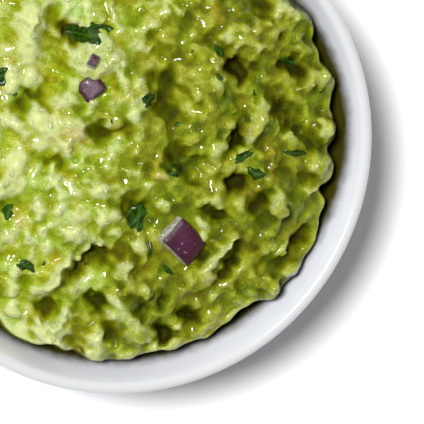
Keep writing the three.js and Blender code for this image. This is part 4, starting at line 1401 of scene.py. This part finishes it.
def glaze_material(settings):
    material, tree, shader, do, at = new_material("white glaze")
    height = do.split(at)[2]
    bare = do.ramp(do.plus(height, do.noise(at, 0.9)), 0.75, 1.05, 1.0, 0.0)
    dull = rgba([channel * 0.965 for channel in settings.glaze])
    glaze = do.mix(do.ramp(do.noise(at, 0.05, 3.0, 0.6), 0.35, 0.65), rgba(settings.glaze), dull)
    # Painted shade: the lip is made darker than the glaze by height, so that its upturned top, which takes
    # the most light, is no brighter than the wall.
    glaze = do.mix(do.ramp(height, LIP_BASE + 0.2, LIP_BASE + 1.6), glaze, rgba(settings.lip))
    # Painted shadow: the wall is darkened towards the mash, for the shade in the gap beside it.
    smear = do.ramp(do.plus(read_attribute(tree, "smear"), do.sway(at, 0.3, 0.35)), 0.08, 0.92)
    glaze = do.mix(smear, glaze, rgba(settings.smear))
    specks = do.ramp(do.cells(at, 0.5), 0.03, 0.09, 0.12, 0.0)
    glaze = do.mix(specks, glaze, rgba(settings.speck))
    wave = do.plus(do.noise(at, 0.09), do.times(do.noise(at, 2.5), 0.03))
    inputs = {
        "Base Color": do.mix(bare, glaze, rgba(settings.bisque)),
        "Roughness": do.ramp(bare, 0.0, 1.0, 0.16, 0.75),
        "Coat Weight": do.ramp(bare, 0.0, 1.0, 0.35, 0.0),
        "Coat Roughness": 0.09,
        "Normal": bumped(tree, wave, 0.6, 0.35),
    }
    connect(tree, shader, inputs)
    return material


def mash_flesh(tree, do, settings, warped, wobble, tone, lit_side):
    """The mash's colour: green, amber and lighter flesh at random, lighter and pale flesh on its crests as
    painted highlights, and the deep colour in the hollows as painted shade.
    """
    flesh, green, amber, pale = (
        rgba(getattr(settings, name)) for name in ("flesh", "green", "amber", "pale")
    )
    light = rgba([channel * 1.5 for channel in settings.flesh])
    body = do.mix(do.ramp(do.noise(warped, 0.10, 3.0, 0.6), 0.40, 0.60, 0.0, 0.82), flesh, green)
    body = do.mix(do.ramp(do.noise(warped, 0.17), 0.56, 0.72, 0.0, 0.40), body, amber)
    drawn = add(tree, "ShaderNodeSeparateColor", {0: do.cells(warped, 0.30, output="Color")}).outputs[0]
    body = do.mix(do.ramp(drawn, 0.6, 0.95, 0.0, 0.5), body, light)
    # Painted highlights on the crests: lighter flesh, and pale flesh that is stronger on the right side
    # than on the left.
    body = do.mix(do.ramp(tone, -0.1, 0.7, 0.0, 0.5), body, light)
    palest = do.ramp(lit_side, 0.0, 1.0, 0.45, 0.08)
    body = do.mix(do.ramp(tone, 0.2, 1.2, 0.0, palest), body, pale)
    for name, tint, strength in (("green", green, 0.75), ("amber", amber, 0.7), ("cream", pale, 0.10)):
        patch = read_attribute(tree, name)
        uneven = do.plus(patch, do.times(wobble, do.ramp(patch, 0.0, 0.25)))
        body = do.mix(do.ramp(uneven, 0.12, 0.85, 0.0, strength), body, tint)
    # Painted shade: the flesh is dimmed down the hollows by the deep colour.
    deep = do.ramp(tone, 0.1, -1.5, smooth=False)
    return do.mix(deep, body, rgba(settings.deep), "MULTIPLY")


def mash_shade(do, at, warped, tone, across, lit_side):
    """Painted light and shade on the mash: most on its left and its crests, less in its hollows and towards
    its right edge, with fine and broad unevenness at random.
    """
    side = do.ramp(lit_side, 0.0, 1.0, 0.71, 2.15, smooth=False)
    edge = do.ramp(across, 20.0, 50.0, 1.0, 0.92)
    dimmest, brightest = do.ramp(lit_side, 0.0, 1.0, 0.60, 0.70), do.ramp(lit_side, 0.0, 1.0, 1.62, 1.10)
    height = do.ramp(tone, -1.2, 1.0, dimmest, brightest, smooth=False)
    grain = do.ramp(do.noise(at, 2.9, 2.0, 0.6), 0.3, 0.7, 0.78, 1.20)
    cloud = do.ramp(do.noise(warped, 0.13), 0.38, 0.62, 0.80, 1.18)
    shade = side
    for share in (edge, height, grain, cloud):
        shade = do.times(shade, share)
    return do.grey(shade)


def whiter_where_lit(tree, do, body, tone):
    """The lighter the flesh is painted, the whiter it is made, as painted glare, and least so down the
    hollows, where painted shade lies.
    """
    mixed = add(tree, "ShaderNodeSeparateColor", {0: body}).outputs
    red, leafy = (do.math("SMOOTH_MIN", mixed[i], most, 0.5) for i, most in ((0, 0.83), (1, 0.88)))
    mean = do.times(do.plus(red, leafy), 0.5)
    cream = do.math("MINIMUM", do.times(do.math("POWER", mean, 4.0), 1.8), 0.42)
    cream = do.times(cream, do.ramp(tone, -1.0, 0.3, 0.25, 1.0))
    blue = do.times(mean, do.plus(cream, 0.003))
    return add(tree, "ShaderNodeCombineColor", {0: red, 1: leafy, 2: blue}).outputs[0]


def mash_material(settings):
    material, tree, shader, do, at = new_material("mashed avocado")
    warped = do.vector("ADD", at, do.scale(do.drift(at, 0.2, 2.0), 6.0))
    wobble = do.sway(at, 0.8, 0.9, 3.0, 0.6)
    tone = do.plus(read_attribute(tree, "tone"), do.times(wobble, 0.30))
    # Painted light and shade: the mash is painted paler on its left and darker down its right side.
    places = do.split(warped)
    across = do.minus(places[0], do.times(places[1], 0.2))
    lit_side = do.ramp(across, -22.0, 11.0, 1.0, 0.0)
    body = mash_flesh(tree, do, settings, warped, wobble, tone, lit_side)
    body = do.mix(1.0, body, mash_shade(do, at, warped, tone, across, lit_side), "MULTIPLY")
    film = wet_film(tree, 2.9)
    coat = do.ramp(film["Wetness"], 0.0, 1.0, 0.10, 0.90)
    inputs = {
        "Base Color": whiter_where_lit(tree, do, body, tone),
        "Normal": bumped(tree, film["Height"], 0.36, 1.0),
        "Roughness": do.ramp(film["Wetness"], 0.0, 1.0, 0.40, 0.26),
        "Coat Weight": do.times(coat, do.ramp(tone, -0.9, 0.1, 0.05, 1.0)),
        "Coat Roughness": 0.10,
        "Specular IOR Level": 0.12,
        "IOR": 1.45,
        "Subsurface Weight": 0.62,
        "Subsurface Radius": (1.5, 1.25, 0.3),
        "Subsurface Scale": 1.0 * MM,
    }
    connect(tree, shader, inputs)
    return material


def onion_material(settings):
    material, tree, shader, do, at = new_material("red onion")
    depth, middle = read_attribute(tree, "depth"), read_attribute(tree, "middle")
    streaks = do.noise(at, 1.6, 3.0, 0.6)
    blooming = do.times(do.ramp(middle, 0.2, 0.9), do.ramp(streaks, 0.3, 0.7))
    skin = do.mix(blooming, rgba(settings.skin), rgba(settings.bloom))
    # Pale dots on the skin: partly specks of mash, partly painted glints.
    specked_and_glinted = do.mix(do.ramp(do.cells(at, 0.75), 0.10, 0.20, 0.7, 0.0), skin, rgba(settings.speck_and_glint_dots))
    flesh = do.mix(do.ramp(do.noise(at, 0.9), 0.35, 0.65), rgba(settings.flesh), rgba(settings.dull))
    # The layers show as bands below the skin, the lowest one purple again.
    bands = do.math("SINE", do.times(do.plus(depth, do.times(streaks, 0.12)), 26.0))
    flesh = do.mix(do.ramp(bands, 0.2, 1.0, 0.0, 0.55), flesh, rgba(settings.band))
    flesh = do.mix(do.ramp(depth, 0.55, 0.7, 0.0, 0.8), flesh, rgba(settings.skin))
    # Painted sparkle: pale specks mixed into the cut flesh stand for its glints.
    flesh = do.mix(do.ramp(do.noise(at, 2.6, 2.0, 0.6), 0.50, 0.66, 0.0, 0.6), flesh, rgba(settings.flesh_sparkle))
    edge = do.ramp(do.plus(depth, do.times(do.minus(streaks, 0.5), 0.10)), 0.10, 0.24)
    film = wet_film(tree, 2.4)
    inputs = {
        "Base Color": do.mix(edge, specked_and_glinted, flesh),
        "Normal": bumped(tree, film["Height"], 0.12, 0.8),
        "Roughness": do.ramp(film["Wetness"], 0.0, 1.0, 0.42, 0.30),
        "Coat Weight": do.ramp(edge, 0.0, 1.0, 0.12, 0.9),
        "Coat Roughness": 0.08,
        "Subsurface Weight": 0.25,
        "Subsurface Radius": (1.0, 0.7, 0.7),
        "Subsurface Scale": 0.8 * MM,
    }
    connect(tree, shader, inputs)
    return material


def herb_material(settings):
    material, tree, shader, do, at = new_material("herb leaf")
    vein = read_attribute(tree, "vein")
    dark, light = (rgba([channel * share for channel in settings.leaf]) for share in (0.45, 1.8))
    leaf = do.mix(do.ramp(do.noise(at, 0.7, 3.0, 0.6), 0.3, 0.7), dark, light)
    film = wet_film(tree, 1.4)
    height = do.plus(do.times(film["Height"], 0.7), do.times(vein, -0.8))
    inputs = {
        "Base Color": do.mix(do.times(vein, 0.6), leaf, rgba(settings.vein)),
        "Normal": bumped(tree, height, 0.22, 0.9),
        "Roughness": do.ramp(film["Wetness"], 0.0, 1.0, 0.38, 0.18),
        "Coat Weight": do.ramp(film["Wetness"], 0.0, 1.0, 0.1, 0.8),
        "Coat Roughness": 0.06,
        "Specular IOR Level": 0.1,
        "Subsurface Weight": 0.1,
        "Subsurface Radius": (0.3, 0.8, 0.1),
        "Subsurface Scale": 0.4 * MM,
    }
    connect(tree, shader, inputs)
    return material


def studio_white_material():
    material, tree, shader, do, at = new_material("studio floor")
    white = do.mix(do.noise(at, 1.5 * MM), rgba((0.93, 0.93, 0.93)), rgba((0.95, 0.95, 0.95)))
    connect(tree, shader, {"Base Color": white, "Roughness": 0.9, "Specular IOR Level": 0.1})
    return material


# ---------------------------------------------------------------- building the pieces


def settings_of(name):
    return getattr(bpy.context.scene, "guacamole_" + name)


def make_bowl():
    settings = settings_of("bowl")
    vertices, faces = turned(bowl_profile(), settings.sides)
    bowl = new_object("porcelain_bowl", vertices, faces)
    outward(bowl)
    place = coordinates(bowl.data) / MM
    radius, angle = np.hypot(place[:, 0], place[:, 1]), np.arctan2(place[:, 1], place[:, 0])
    # Painted shadow: the wall is marked dark from where the mash meets it up to a set height, for the shade
    # in the gap.
    lowest = np.maximum(wall_height(wall_contact(angle)) + GAP_SHADE_ABOVE, GAP_SHADE_LEVEL)
    climb = swollen(lowest, np.degrees(angle), GAP_SHADE_CLIMBS)
    inside = (radius < wall_radius(place[:, 2]) + 0.1) & (place[:, 2] > FLOOR - 0.1)
    smear = np.clip((climb - place[:, 2]) / GAP_SHADE_FADE, 0, 1)
    set_attribute(bowl.data, "smear", np.where(inside, smear, 0.0))
    finish_piece(bowl, ["bowl"], glaze_material(settings))


def wall_contact(angles):
    """Radius at which the heap's level meets the wall, for each angle round the bowl."""
    coarse = np.linspace(-math.pi, math.pi, 360, endpoint=False)
    radii = np.arange(EDGE_RADIUS, CONTACT_INNERMOST, -CONTACT_STEP)
    around, across = np.meshgrid(coarse, radii, indexing="ij")
    points = np.column_stack([(across * np.cos(around)).ravel(), (across * np.sin(around)).ravel()])
    above = (heap_level(points) - wall_height(across.ravel())).reshape(across.shape)
    first = np.maximum(np.argmax(above >= 0, axis=1), 1)
    rows = np.arange(len(coarse))
    inner, beyond = above[rows, first], above[rows, first - 1]
    share = np.clip(inner / np.maximum(inner - beyond, 1e-6), 0, 1)
    contact = radii[first] + CONTACT_STEP * share
    for _ in range(2):
        contact = (np.roll(contact, 1) + 2 * contact + np.roll(contact, -1)) / 4
    return np.interp(angles, coarse, contact, period=2 * math.pi)


def surface_points(settings):
    """The heap's top before its small relief, with its rim on the wall."""
    points, triangles, outer = hex_disk(settings.rings, EDGE_RADIUS)
    pairs = edge_pairs(triangles)
    radius = np.hypot(points[:, 0], points[:, 1])
    contact = wall_contact(np.arctan2(points[:, 1], points[:, 0]))
    share = np.clip((radius - FITTED_FROM) / (EDGE_RADIUS - FITTED_FROM), 0, 1)
    slope = (EDGE_RADIUS - FITTED_FROM) / (contact - FITTED_FROM)
    fitted = FITTED_FROM + (contact - FITTED_FROM) * (slope * share - (slope - 1) * share**2)
    fitted = np.where(radius > FITTED_FROM, fitted, radius)
    points = points * (fitted / np.maximum(radius, 1e-6))[:, None]
    level = heap_level(points)
    level[outer:] = wall_height(fitted[outer:])
    return points, triangles, pairs, outer, spread(level, pairs, 2)


def close_below(vertices, faces, outer, count, floor):
    """Adds the side that follows the wall, and the flat underside, below the outer ring of a disk."""
    above = list(range(outer, outer + count))
    rim = np.array([vertices[i] for i in above])
    angles = np.arctan2(rim[:, 1], rim[:, 0])
    for row in range(1, SIDE_ROWS + 1):
        share = row / SIDE_ROWS
        heights = rim[:, 2] / MM * (1 - share) + floor * share
        radii = wall_radius(heights) - WALL_GAP
        start = len(vertices)
        vertices.extend(
            (r * math.cos(a) * MM, r * math.sin(a) * MM, h * MM) for r, a, h in zip(radii, angles, heights)
        )
        below = list(range(start, start + count))
        for i in range(count):
            j = (i + 1) % count
            faces.append((below[i], below[j], above[j]))
            faces.append((below[i], above[j], above[i]))
        above = below
    middle = len(vertices)
    vertices.append((0, 0, floor * MM))
    for i in range(count):
        faces.append((above[(i + 1) % count], above[i], middle))


def keep_inside_wall(moved):
    """Points in metres, drawn in where they would pass through the wall."""
    out = np.hypot(moved[:, 0], moved[:, 1])
    most = (wall_radius(moved[:, 2] / MM) - WALL_GAP) * MM
    moved[:, :2] *= np.where(out > most, most / np.maximum(out, 1e-9), 1.0)[:, None]
    return moved


def relief_share(points, level, contact, inward):
    """How much of the small relief shows: less by the wall, low on it and under the dice."""
    high = np.clip((level - wall_height(contact)) / RELIEF_RISE, 0, 1)
    return np.clip(inward / RELIEF_MARGIN, 0, 1) * high * (1 - PRESSED_FLAT * dice_seats(points))


def tone_of(height, pairs):
    """From -1.5 in deep hollows and creases to 1.2 on crests, judged at three widths."""
    tone = np.zeros(len(height))
    for rounds, most, share in TONE_WIDTHS:
        above = (height - spread(height, pairs, rounds)) / most
        tone += share * np.clip(above, -TONE_LIMIT, TONE_LIMIT)
    return np.clip(tone, -TONE_LIMIT, TONE_BRIGHTEST)


def mash_tone(mesh, moved, inward, pairs):
    """The tone of the mash, with painted shade close to the brink and down the steep side."""
    upward = np.empty(len(moved) * 3, np.float32)
    mesh.vertices.foreach_get("normal", upward)
    steep = np.clip((STEEP_FROM - upward[2::3]) / STEEP_SPAN, 0, 1)
    steep = steep * np.clip(STEEP_REACH - inward / BRINK_WIDTH, 0, 1)
    tone = tone_of(moved[:, 2] / MM, pairs) - BRINK_DIM * np.clip(1 - inward / BRINK_WIDTH, 0, 1)
    return tone - STEEP_DIM * spread(steep, pairs, 1)


def add_relief(disk, settings, pairs, outer):
    """Gives the heap's top its lumps, curds and nubs. Returns where its points now are, in metres."""
    values = {
        "Draw": (settings.seed * 3.7, settings.seed * 1.9, 0.0),
        "Warp": settings.warp,
        "Lump size": settings.lump_size,
        "Lump height": settings.lump_height,
        "Curd size": settings.curd_size,
        "Curd height": settings.curd_height,
        "Nub size": settings.nub_size,
        "Nub height": settings.nub_height,
    }
    run_nodes(disk, relief_tree(), values)
    moved = coordinates(disk.data)
    for axis in range(3):
        moved[:outer, axis] = spread(moved[:, axis], pairs, settings.soften)[:outer]
    moved = keep_inside_wall(moved)
    disk.data.vertices.foreach_set("co", moved.ravel())
    disk.data.update()
    return moved


def scatter_nubs(disk, settings, material):
    """Turns the heap's top into the loose nubs that lie on it."""
    disk.name = "mash_nubs"
    values = {
        "Spacing": settings.loose_spacing,
        "Smallest": settings.loose_smallest,
        "Largest": settings.loose_largest,
        "Seed": settings.seed,
        "Material": material,
    }
    run_nodes(disk, nub_tree(), values)
    finish_piece(disk, [])


def make_mash():
    settings = settings_of("mash")
    points, triangles, pairs, outer, level = surface_points(settings)
    top = np.column_stack([points, level]) * MM
    disk = new_object("mash", top.tolist(), triangles.tolist())
    contact = wall_contact(np.arctan2(points[:, 1], points[:, 0]))
    inward = contact - np.hypot(points[:, 0], points[:, 1])
    set_attribute(disk.data, "carve", relief_share(points, level, contact, inward))
    moved = add_relief(disk, settings, pairs, outer)
    flat = moved[:, :2] / MM
    tone = mash_tone(disk.data, moved, inward, pairs)
    values = {
        "tone": tone,
        "green": patches(flat, GREEN_PATCHES),
        "cream": patches(flat, CREAM_PATCHES),
        "amber": patches(flat, AMBER_PATCHES),
    }
    vertices = [tuple(v) for v in moved]
    faces = [tuple(t) for t in triangles.tolist()]
    count = len(vertices)
    close_below(vertices, faces, outer, 6 * settings.rings, FLOOR + 0.1)
    mash = new_object("mash_heap", vertices, faces)
    for name, known in values.items():
        set_attribute(mash.data, name, np.concatenate([known, np.full(len(vertices) - count, UNSEEN_TONE)]))
    material = mash_material(settings)
    finish_piece(mash, ["guacamole"], material)

    room = np.clip(0.25 + 0.9 * tone, 0, 1) * np.clip((inward - 2.0) / 2.0, 0, 1)
    for name, known in (*values.items(), ("room", room)):
        set_attribute(disk.data, name, known)
    scatter_nubs(disk, settings, material)


def surface_of(name):
    """A tree of a piece's surface, to rest things on."""
    mesh = bpy.data.objects[name].data
    vertices = [v.co.copy() for v in mesh.vertices]
    return BVHTree.FromPolygons(vertices, [list(p.vertices) for p in mesh.polygons])


def level_at(tree, x, y):
    """Height in mm of a surface below a point."""
    hit = tree.ray_cast(Vector((x * MM, y * MM, 0.2)), Vector((0, 0, -1)))
    return hit[0].z / MM if hit[0] is not None else RIM_HEIGHT


def make_onion():
    material = onion_material(settings_of("onion"))
    for node, (length, width, thickness, turn, tilt, lean, bare, slant) in ONION_DICE.items():
        low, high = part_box(node)
        centre = (low + high) / 2
        obj = onion_piece(node + "_dice", (length, width, thickness), bare, slant)
        axis = Vector((-math.sin(math.radians(lean)), math.cos(math.radians(lean)), 0))
        place = (
            Matrix.Translation(centre)
            @ Matrix.Rotation(math.radians(tilt), 4, axis)
            @ Matrix.Rotation(math.radians(turn), 4, "Z")
        )
        obj.data.transform(place)
        finish_piece(obj, [node], material)


def onion_piece(name, sides, bare, slant):
    """A dice of one onion layer with soft corners, a bowed face and slightly uneven cuts."""
    length, width, thickness = sides
    work = bmesh.new()
    bmesh.ops.create_cube(work, size=1.0)
    bmesh.ops.subdivide_edges(work, edges=work.edges, cuts=ONION_ROWS, use_grid_fill=True)
    mesh = bpy.data.meshes.new(name)
    work.to_mesh(mesh)
    work.free()
    here = coordinates(mesh) * 2
    # Corners and edges are rounded by pulling the cube towards a super-ellipsoid.
    size = (np.abs(here) ** ONION_SHARPNESS).sum(1) ** (1 / ONION_SHARPNESS)
    here = here / size[:, None] * np.abs(here).max(1)[:, None]
    depth = (1 - here[:, 2]) / 2
    middle = np.clip(1.1 - np.hypot(here[:, 0], here[:, 1]), 0, 1)
    flare = 0.97 + 0.05 * np.minimum(depth / 0.4, 1)
    # Two sides are cut aslant, so that the pale layers below the skin show there.
    front = np.clip((-here[:, 1] - 0.82) / 0.18, 0, 1) * (0.75 + 0.25 * np.sin(2.3 * here[:, 0] + 1))
    side = 1.2 * np.clip((-here[:, 0] - 0.80) / 0.20, 0, 1)
    aslant = slant * np.maximum(front, side)
    here = here + 0.02 * np.sin(here[:, [1, 2, 0]] * 3.1 + here[:, [2, 0, 1]] * 2.3)
    x = here[:, 0] * flare * length / 2
    y = here[:, 1] * flare * width / 2
    z = here[:, 2] * thickness / 2 - ONION_BOW * here[:, 0] ** 2 - ONION_SLANT * aslant * (1 - depth)
    mesh.vertices.foreach_set("co", (np.column_stack([x, y, z]) * MM).ravel())
    mesh.update()
    mesh.shade_smooth()
    set_attribute(mesh, "depth", depth + 0.30 * aslant + bare)
    set_attribute(mesh, "middle", middle)
    return linked_object(name, mesh)


def make_leaves():
    settings = settings_of("herb")
    material = herb_material(settings)
    ground = surface_of("mash_heap")
    for node, leaf in LEAVES.items():
        obj = leaf_piece(node + "_herb", leaf, ground, *LEAF_GRID)
        finish_piece(obj, [node], material)
    draw = np.random.default_rng(settings.flecks)
    flecks = list(FLECKS)
    while len(flecks) < FLECK_COUNT:
        around, out = draw.uniform(0, 2 * math.pi), FLECK_REACH * math.sqrt(draw.uniform(0, 1))
        x, y = out * math.cos(around), out * math.sin(around)
        if x < LUMPS_LEFT_OF or y > LUMPS_BEHIND:
            length, width = draw.uniform(*FLECK_LENGTH), draw.uniform(*FLECK_WIDTH)
            flecks.append((x, y, length, width, draw.uniform(0, 180)))
    pieces = [leaf_piece("fleck", (*fleck, FLECK_WAVE), ground, *FLECK_GRID) for fleck in flecks]
    finish_piece(joined("herb_flecks", pieces), [], material)


def joined(name, pieces):
    """The pieces made one object, the first, under a new name."""
    with bpy.context.temp_override(active_object=pieces[0], selected_editable_objects=pieces):
        bpy.ops.object.join()
    pieces[0].name = name
    pieces[0].data.name = name
    return pieces[0]


def leaf_points(leaf, ground, long, wide):
    """Points of a leaf's underside in mm, row by row, and how much of a vein each lies on."""
    centre_x, centre_y, length, width, turn, wave = leaf
    drawn = 1.7 * centre_x + 2.3 * centre_y
    angle = math.radians(turn)
    middle = level_at(ground, centre_x, centre_y)
    points, veins = [], []
    for i in range(long + 1):
        for j in range(wide + 1):
            along, across = i / long, 2 * j / wide - 1
            notches = 1 + 0.11 * math.sin(5 * math.pi * along + across + drawn)
            notches += 0.05 * math.sin(11 * math.pi * along - 2 * across + 2 * drawn)
            half = LEAF_TIP + (width / 2 - LEAF_TIP) * math.sin(math.pi * along) ** 0.8 * notches
            u = (along - 0.5) * length
            v = across * half + 0.10 * length * math.sin(math.pi * along) * math.sin(drawn)
            x = centre_x + u * math.cos(angle) - v * math.sin(angle)
            y = centre_y + u * math.sin(angle) + v * math.cos(angle)
            rest = middle + LEAF_FOLLOWS * (level_at(ground, x, y) - middle)
            ripple = wave * (0.5 + 0.5 * math.sin(9 * along + 3 * across + drawn))
            sunk = LEAF_SUNK * max(abs(across), abs(2 * along - 1)) ** 2
            points.append((x, y, rest + LEAF_LIFT + ripple - sunk))
            mid_vein = max(0.0, 1 - abs(across) * 6)
            side_vein = max(0.0, math.cos(12 * along + 5 * abs(across)) - 0.8)
            veins.append(mid_vein + 2.5 * side_vein)
    return points, veins


def leaf_piece(name, leaf, ground, long, wide):
    """A thin wavy leaf fragment over the mash, with a notched outline and a mid vein."""
    points, veins = leaf_points(leaf, ground, long, wide)
    vertices = [
        (x * MM, y * MM, (z + side * LEAF_THICKNESS) * MM) for side in range(2) for x, y, z in points
    ]

    def at(side, i, j):
        return side * len(points) + i * (wide + 1) + j

    faces = []
    for i in range(long):
        for j in range(wide):
            faces.append((at(1, i, j), at(1, i + 1, j), at(1, i + 1, j + 1), at(1, i, j + 1)))
            faces.append((at(0, i, j), at(0, i, j + 1), at(0, i + 1, j + 1), at(0, i + 1, j)))
    for i in range(long):
        for j, flip in ((0, False), (wide, True)):
            face = [at(0, i, j), at(0, i + 1, j), at(1, i + 1, j), at(1, i, j)]
            faces.append(tuple(reversed(face)) if flip else tuple(face))
    for j in range(wide):
        for i, flip in ((0, True), (long, False)):
            face = [at(0, i, j), at(0, i, j + 1), at(1, i, j + 1), at(1, i, j)]
            faces.append(tuple(reversed(face)) if flip else tuple(face))
    obj = new_object(name, vertices, faces)
    outward(obj)
    set_attribute(obj.data, "vein", np.tile(np.clip(veins, 0, 1), 2))
    return obj


def upwards(azimuth, elevation):
    """The direction towards something at an azimuth and an elevation, both in radians."""
    level = math.cos(elevation)
    return Vector((math.cos(azimuth) * level, math.sin(azimuth) * level, math.sin(elevation)))


def make_floor():
    size = STAGE_SIZE * MM
    corners = [(-size, -size, 0), (size, -size, 0), (size, size, 0), (-size, size, 0)]
    floor = new_object("studio_floor", corners, [(0, 1, 2, 3)], smooth=False)
    floor.data.materials.append(studio_white_material())


def make_light(settings):
    world = bpy.data.worlds.new("studio")
    world.use_nodes = True
    connect(
        world.node_tree,
        world.node_tree.nodes["Background"],
        {"Color": (1.0, 1.0, 1.0, 1), "Strength": settings.fill},
    )
    bpy.context.scene.world = world
    key = bpy.data.lights.new("key", "SUN")
    key.energy = settings.key_strength
    key.color = settings.key_colour
    key.angle = settings.key_angle
    towards = upwards(settings.key_azimuth, settings.key_elevation)
    linked_object("key", key).rotation_euler = towards.to_track_quat("Z", "Y").to_euler()


def make_camera(settings):
    data = bpy.data.cameras.new("camera")
    data.lens = settings.lens
    data.sensor_width = 36
    data.clip_start, data.clip_end = 0.01, 10
    camera = linked_object("camera", data)
    rim = Vector((0, 0, RIM_HEIGHT * MM))
    azimuth, elevation = math.radians(CAMERA_AZIMUTH), math.radians(CAMERA_ELEVATION)
    camera.location = rim + CAMERA_DISTANCE * MM * upwards(azimuth, elevation)
    forward = (rim + Vector((*CAMERA_AIM, 0)) * MM - camera.location).normalized()
    right = forward.cross(Vector((0, 1, 0))).normalized()
    up = right.cross(forward)
    camera.rotation_euler = Matrix((right, up, -forward)).transposed().to_euler()
    bpy.context.scene.camera = camera


def make_stage():
    settings = settings_of("stage")
    bpy.context.scene.view_settings.view_transform = "Standard"
    make_floor()
    make_light(settings)
    make_camera(settings)


# ---------------------------------------------------------------- operators and panel


class GUACAMOLE_OT_bowl(bpy.types.Operator):
    """Makes the porcelain bowl"""

    bl_idname = "guacamole.bowl"
    bl_label = "Bowl"

    def execute(self, context):
        make_bowl()
        return {"FINISHED"}


class GUACAMOLE_OT_mash(bpy.types.Operator):
    """Makes the heap of mashed avocado"""

    bl_idname = "guacamole.mash"
    bl_label = "Mash"

    def execute(self, context):
        make_mash()
        return {"FINISHED"}


class GUACAMOLE_OT_onion(bpy.types.Operator):
    """Makes the dice of red onion"""

    bl_idname = "guacamole.onion"
    bl_label = "Onion"

    def execute(self, context):
        make_onion()
        return {"FINISHED"}


class GUACAMOLE_OT_leaves(bpy.types.Operator):
    """Makes the chopped herb leaves"""

    bl_idname = "guacamole.leaves"
    bl_label = "Herb leaves"

    def execute(self, context):
        make_leaves()
        return {"FINISHED"}


class GUACAMOLE_OT_stage(bpy.types.Operator):
    """Makes the floor, the lights and the camera"""

    bl_idname = "guacamole.stage"
    bl_label = "Stage"

    def execute(self, context):
        make_stage()
        return {"FINISHED"}


OPERATORS = [
    GUACAMOLE_OT_bowl,
    GUACAMOLE_OT_mash,
    GUACAMOLE_OT_onion,
    GUACAMOLE_OT_leaves,
    GUACAMOLE_OT_stage,
]


class GUACAMOLE_PT_panel(bpy.types.Panel):
    """Lists what the bowl of guacamole is made of"""

    bl_idname = "GUACAMOLE_PT_panel"
    bl_label = "Guacamole"
    bl_space_type = "VIEW_3D"
    bl_region_type = "UI"
    bl_category = "Guacamole"

    def draw(self, context):
        for operator in OPERATORS:
            self.layout.operator(operator.bl_idname)


SETTINGS = {
    "bowl": GUACAMOLE_PG_bowl,
    "mash": GUACAMOLE_PG_mash,
    "onion": GUACAMOLE_PG_onion,
    "herb": GUACAMOLE_PG_herb,
    "stage": GUACAMOLE_PG_stage,
}


def register():
    for group in SETTINGS.values():
        bpy.utils.register_class(group)
    for name, group in SETTINGS.items():
        setattr(bpy.types.Scene, "guacamole_" + name, PointerProperty(type=group))
    for operator in OPERATORS:
        bpy.utils.register_class(operator)
    bpy.utils.register_class(GUACAMOLE_PT_panel)


def unregister():
    bpy.utils.unregister_class(GUACAMOLE_PT_panel)
    for operator in reversed(OPERATORS):
        bpy.utils.unregister_class(operator)
    for name, group in reversed(SETTINGS.items()):
        delattr(bpy.types.Scene, "guacamole_" + name)
        bpy.utils.unregister_class(group)


def main():
    register()
    bpy.ops.guacamole.bowl()
    bpy.ops.guacamole.mash()
    bpy.ops.guacamole.onion()
    bpy.ops.guacamole.leaves()
    bpy.ops.guacamole.stage()


if __name__ == "__main__":
    main()
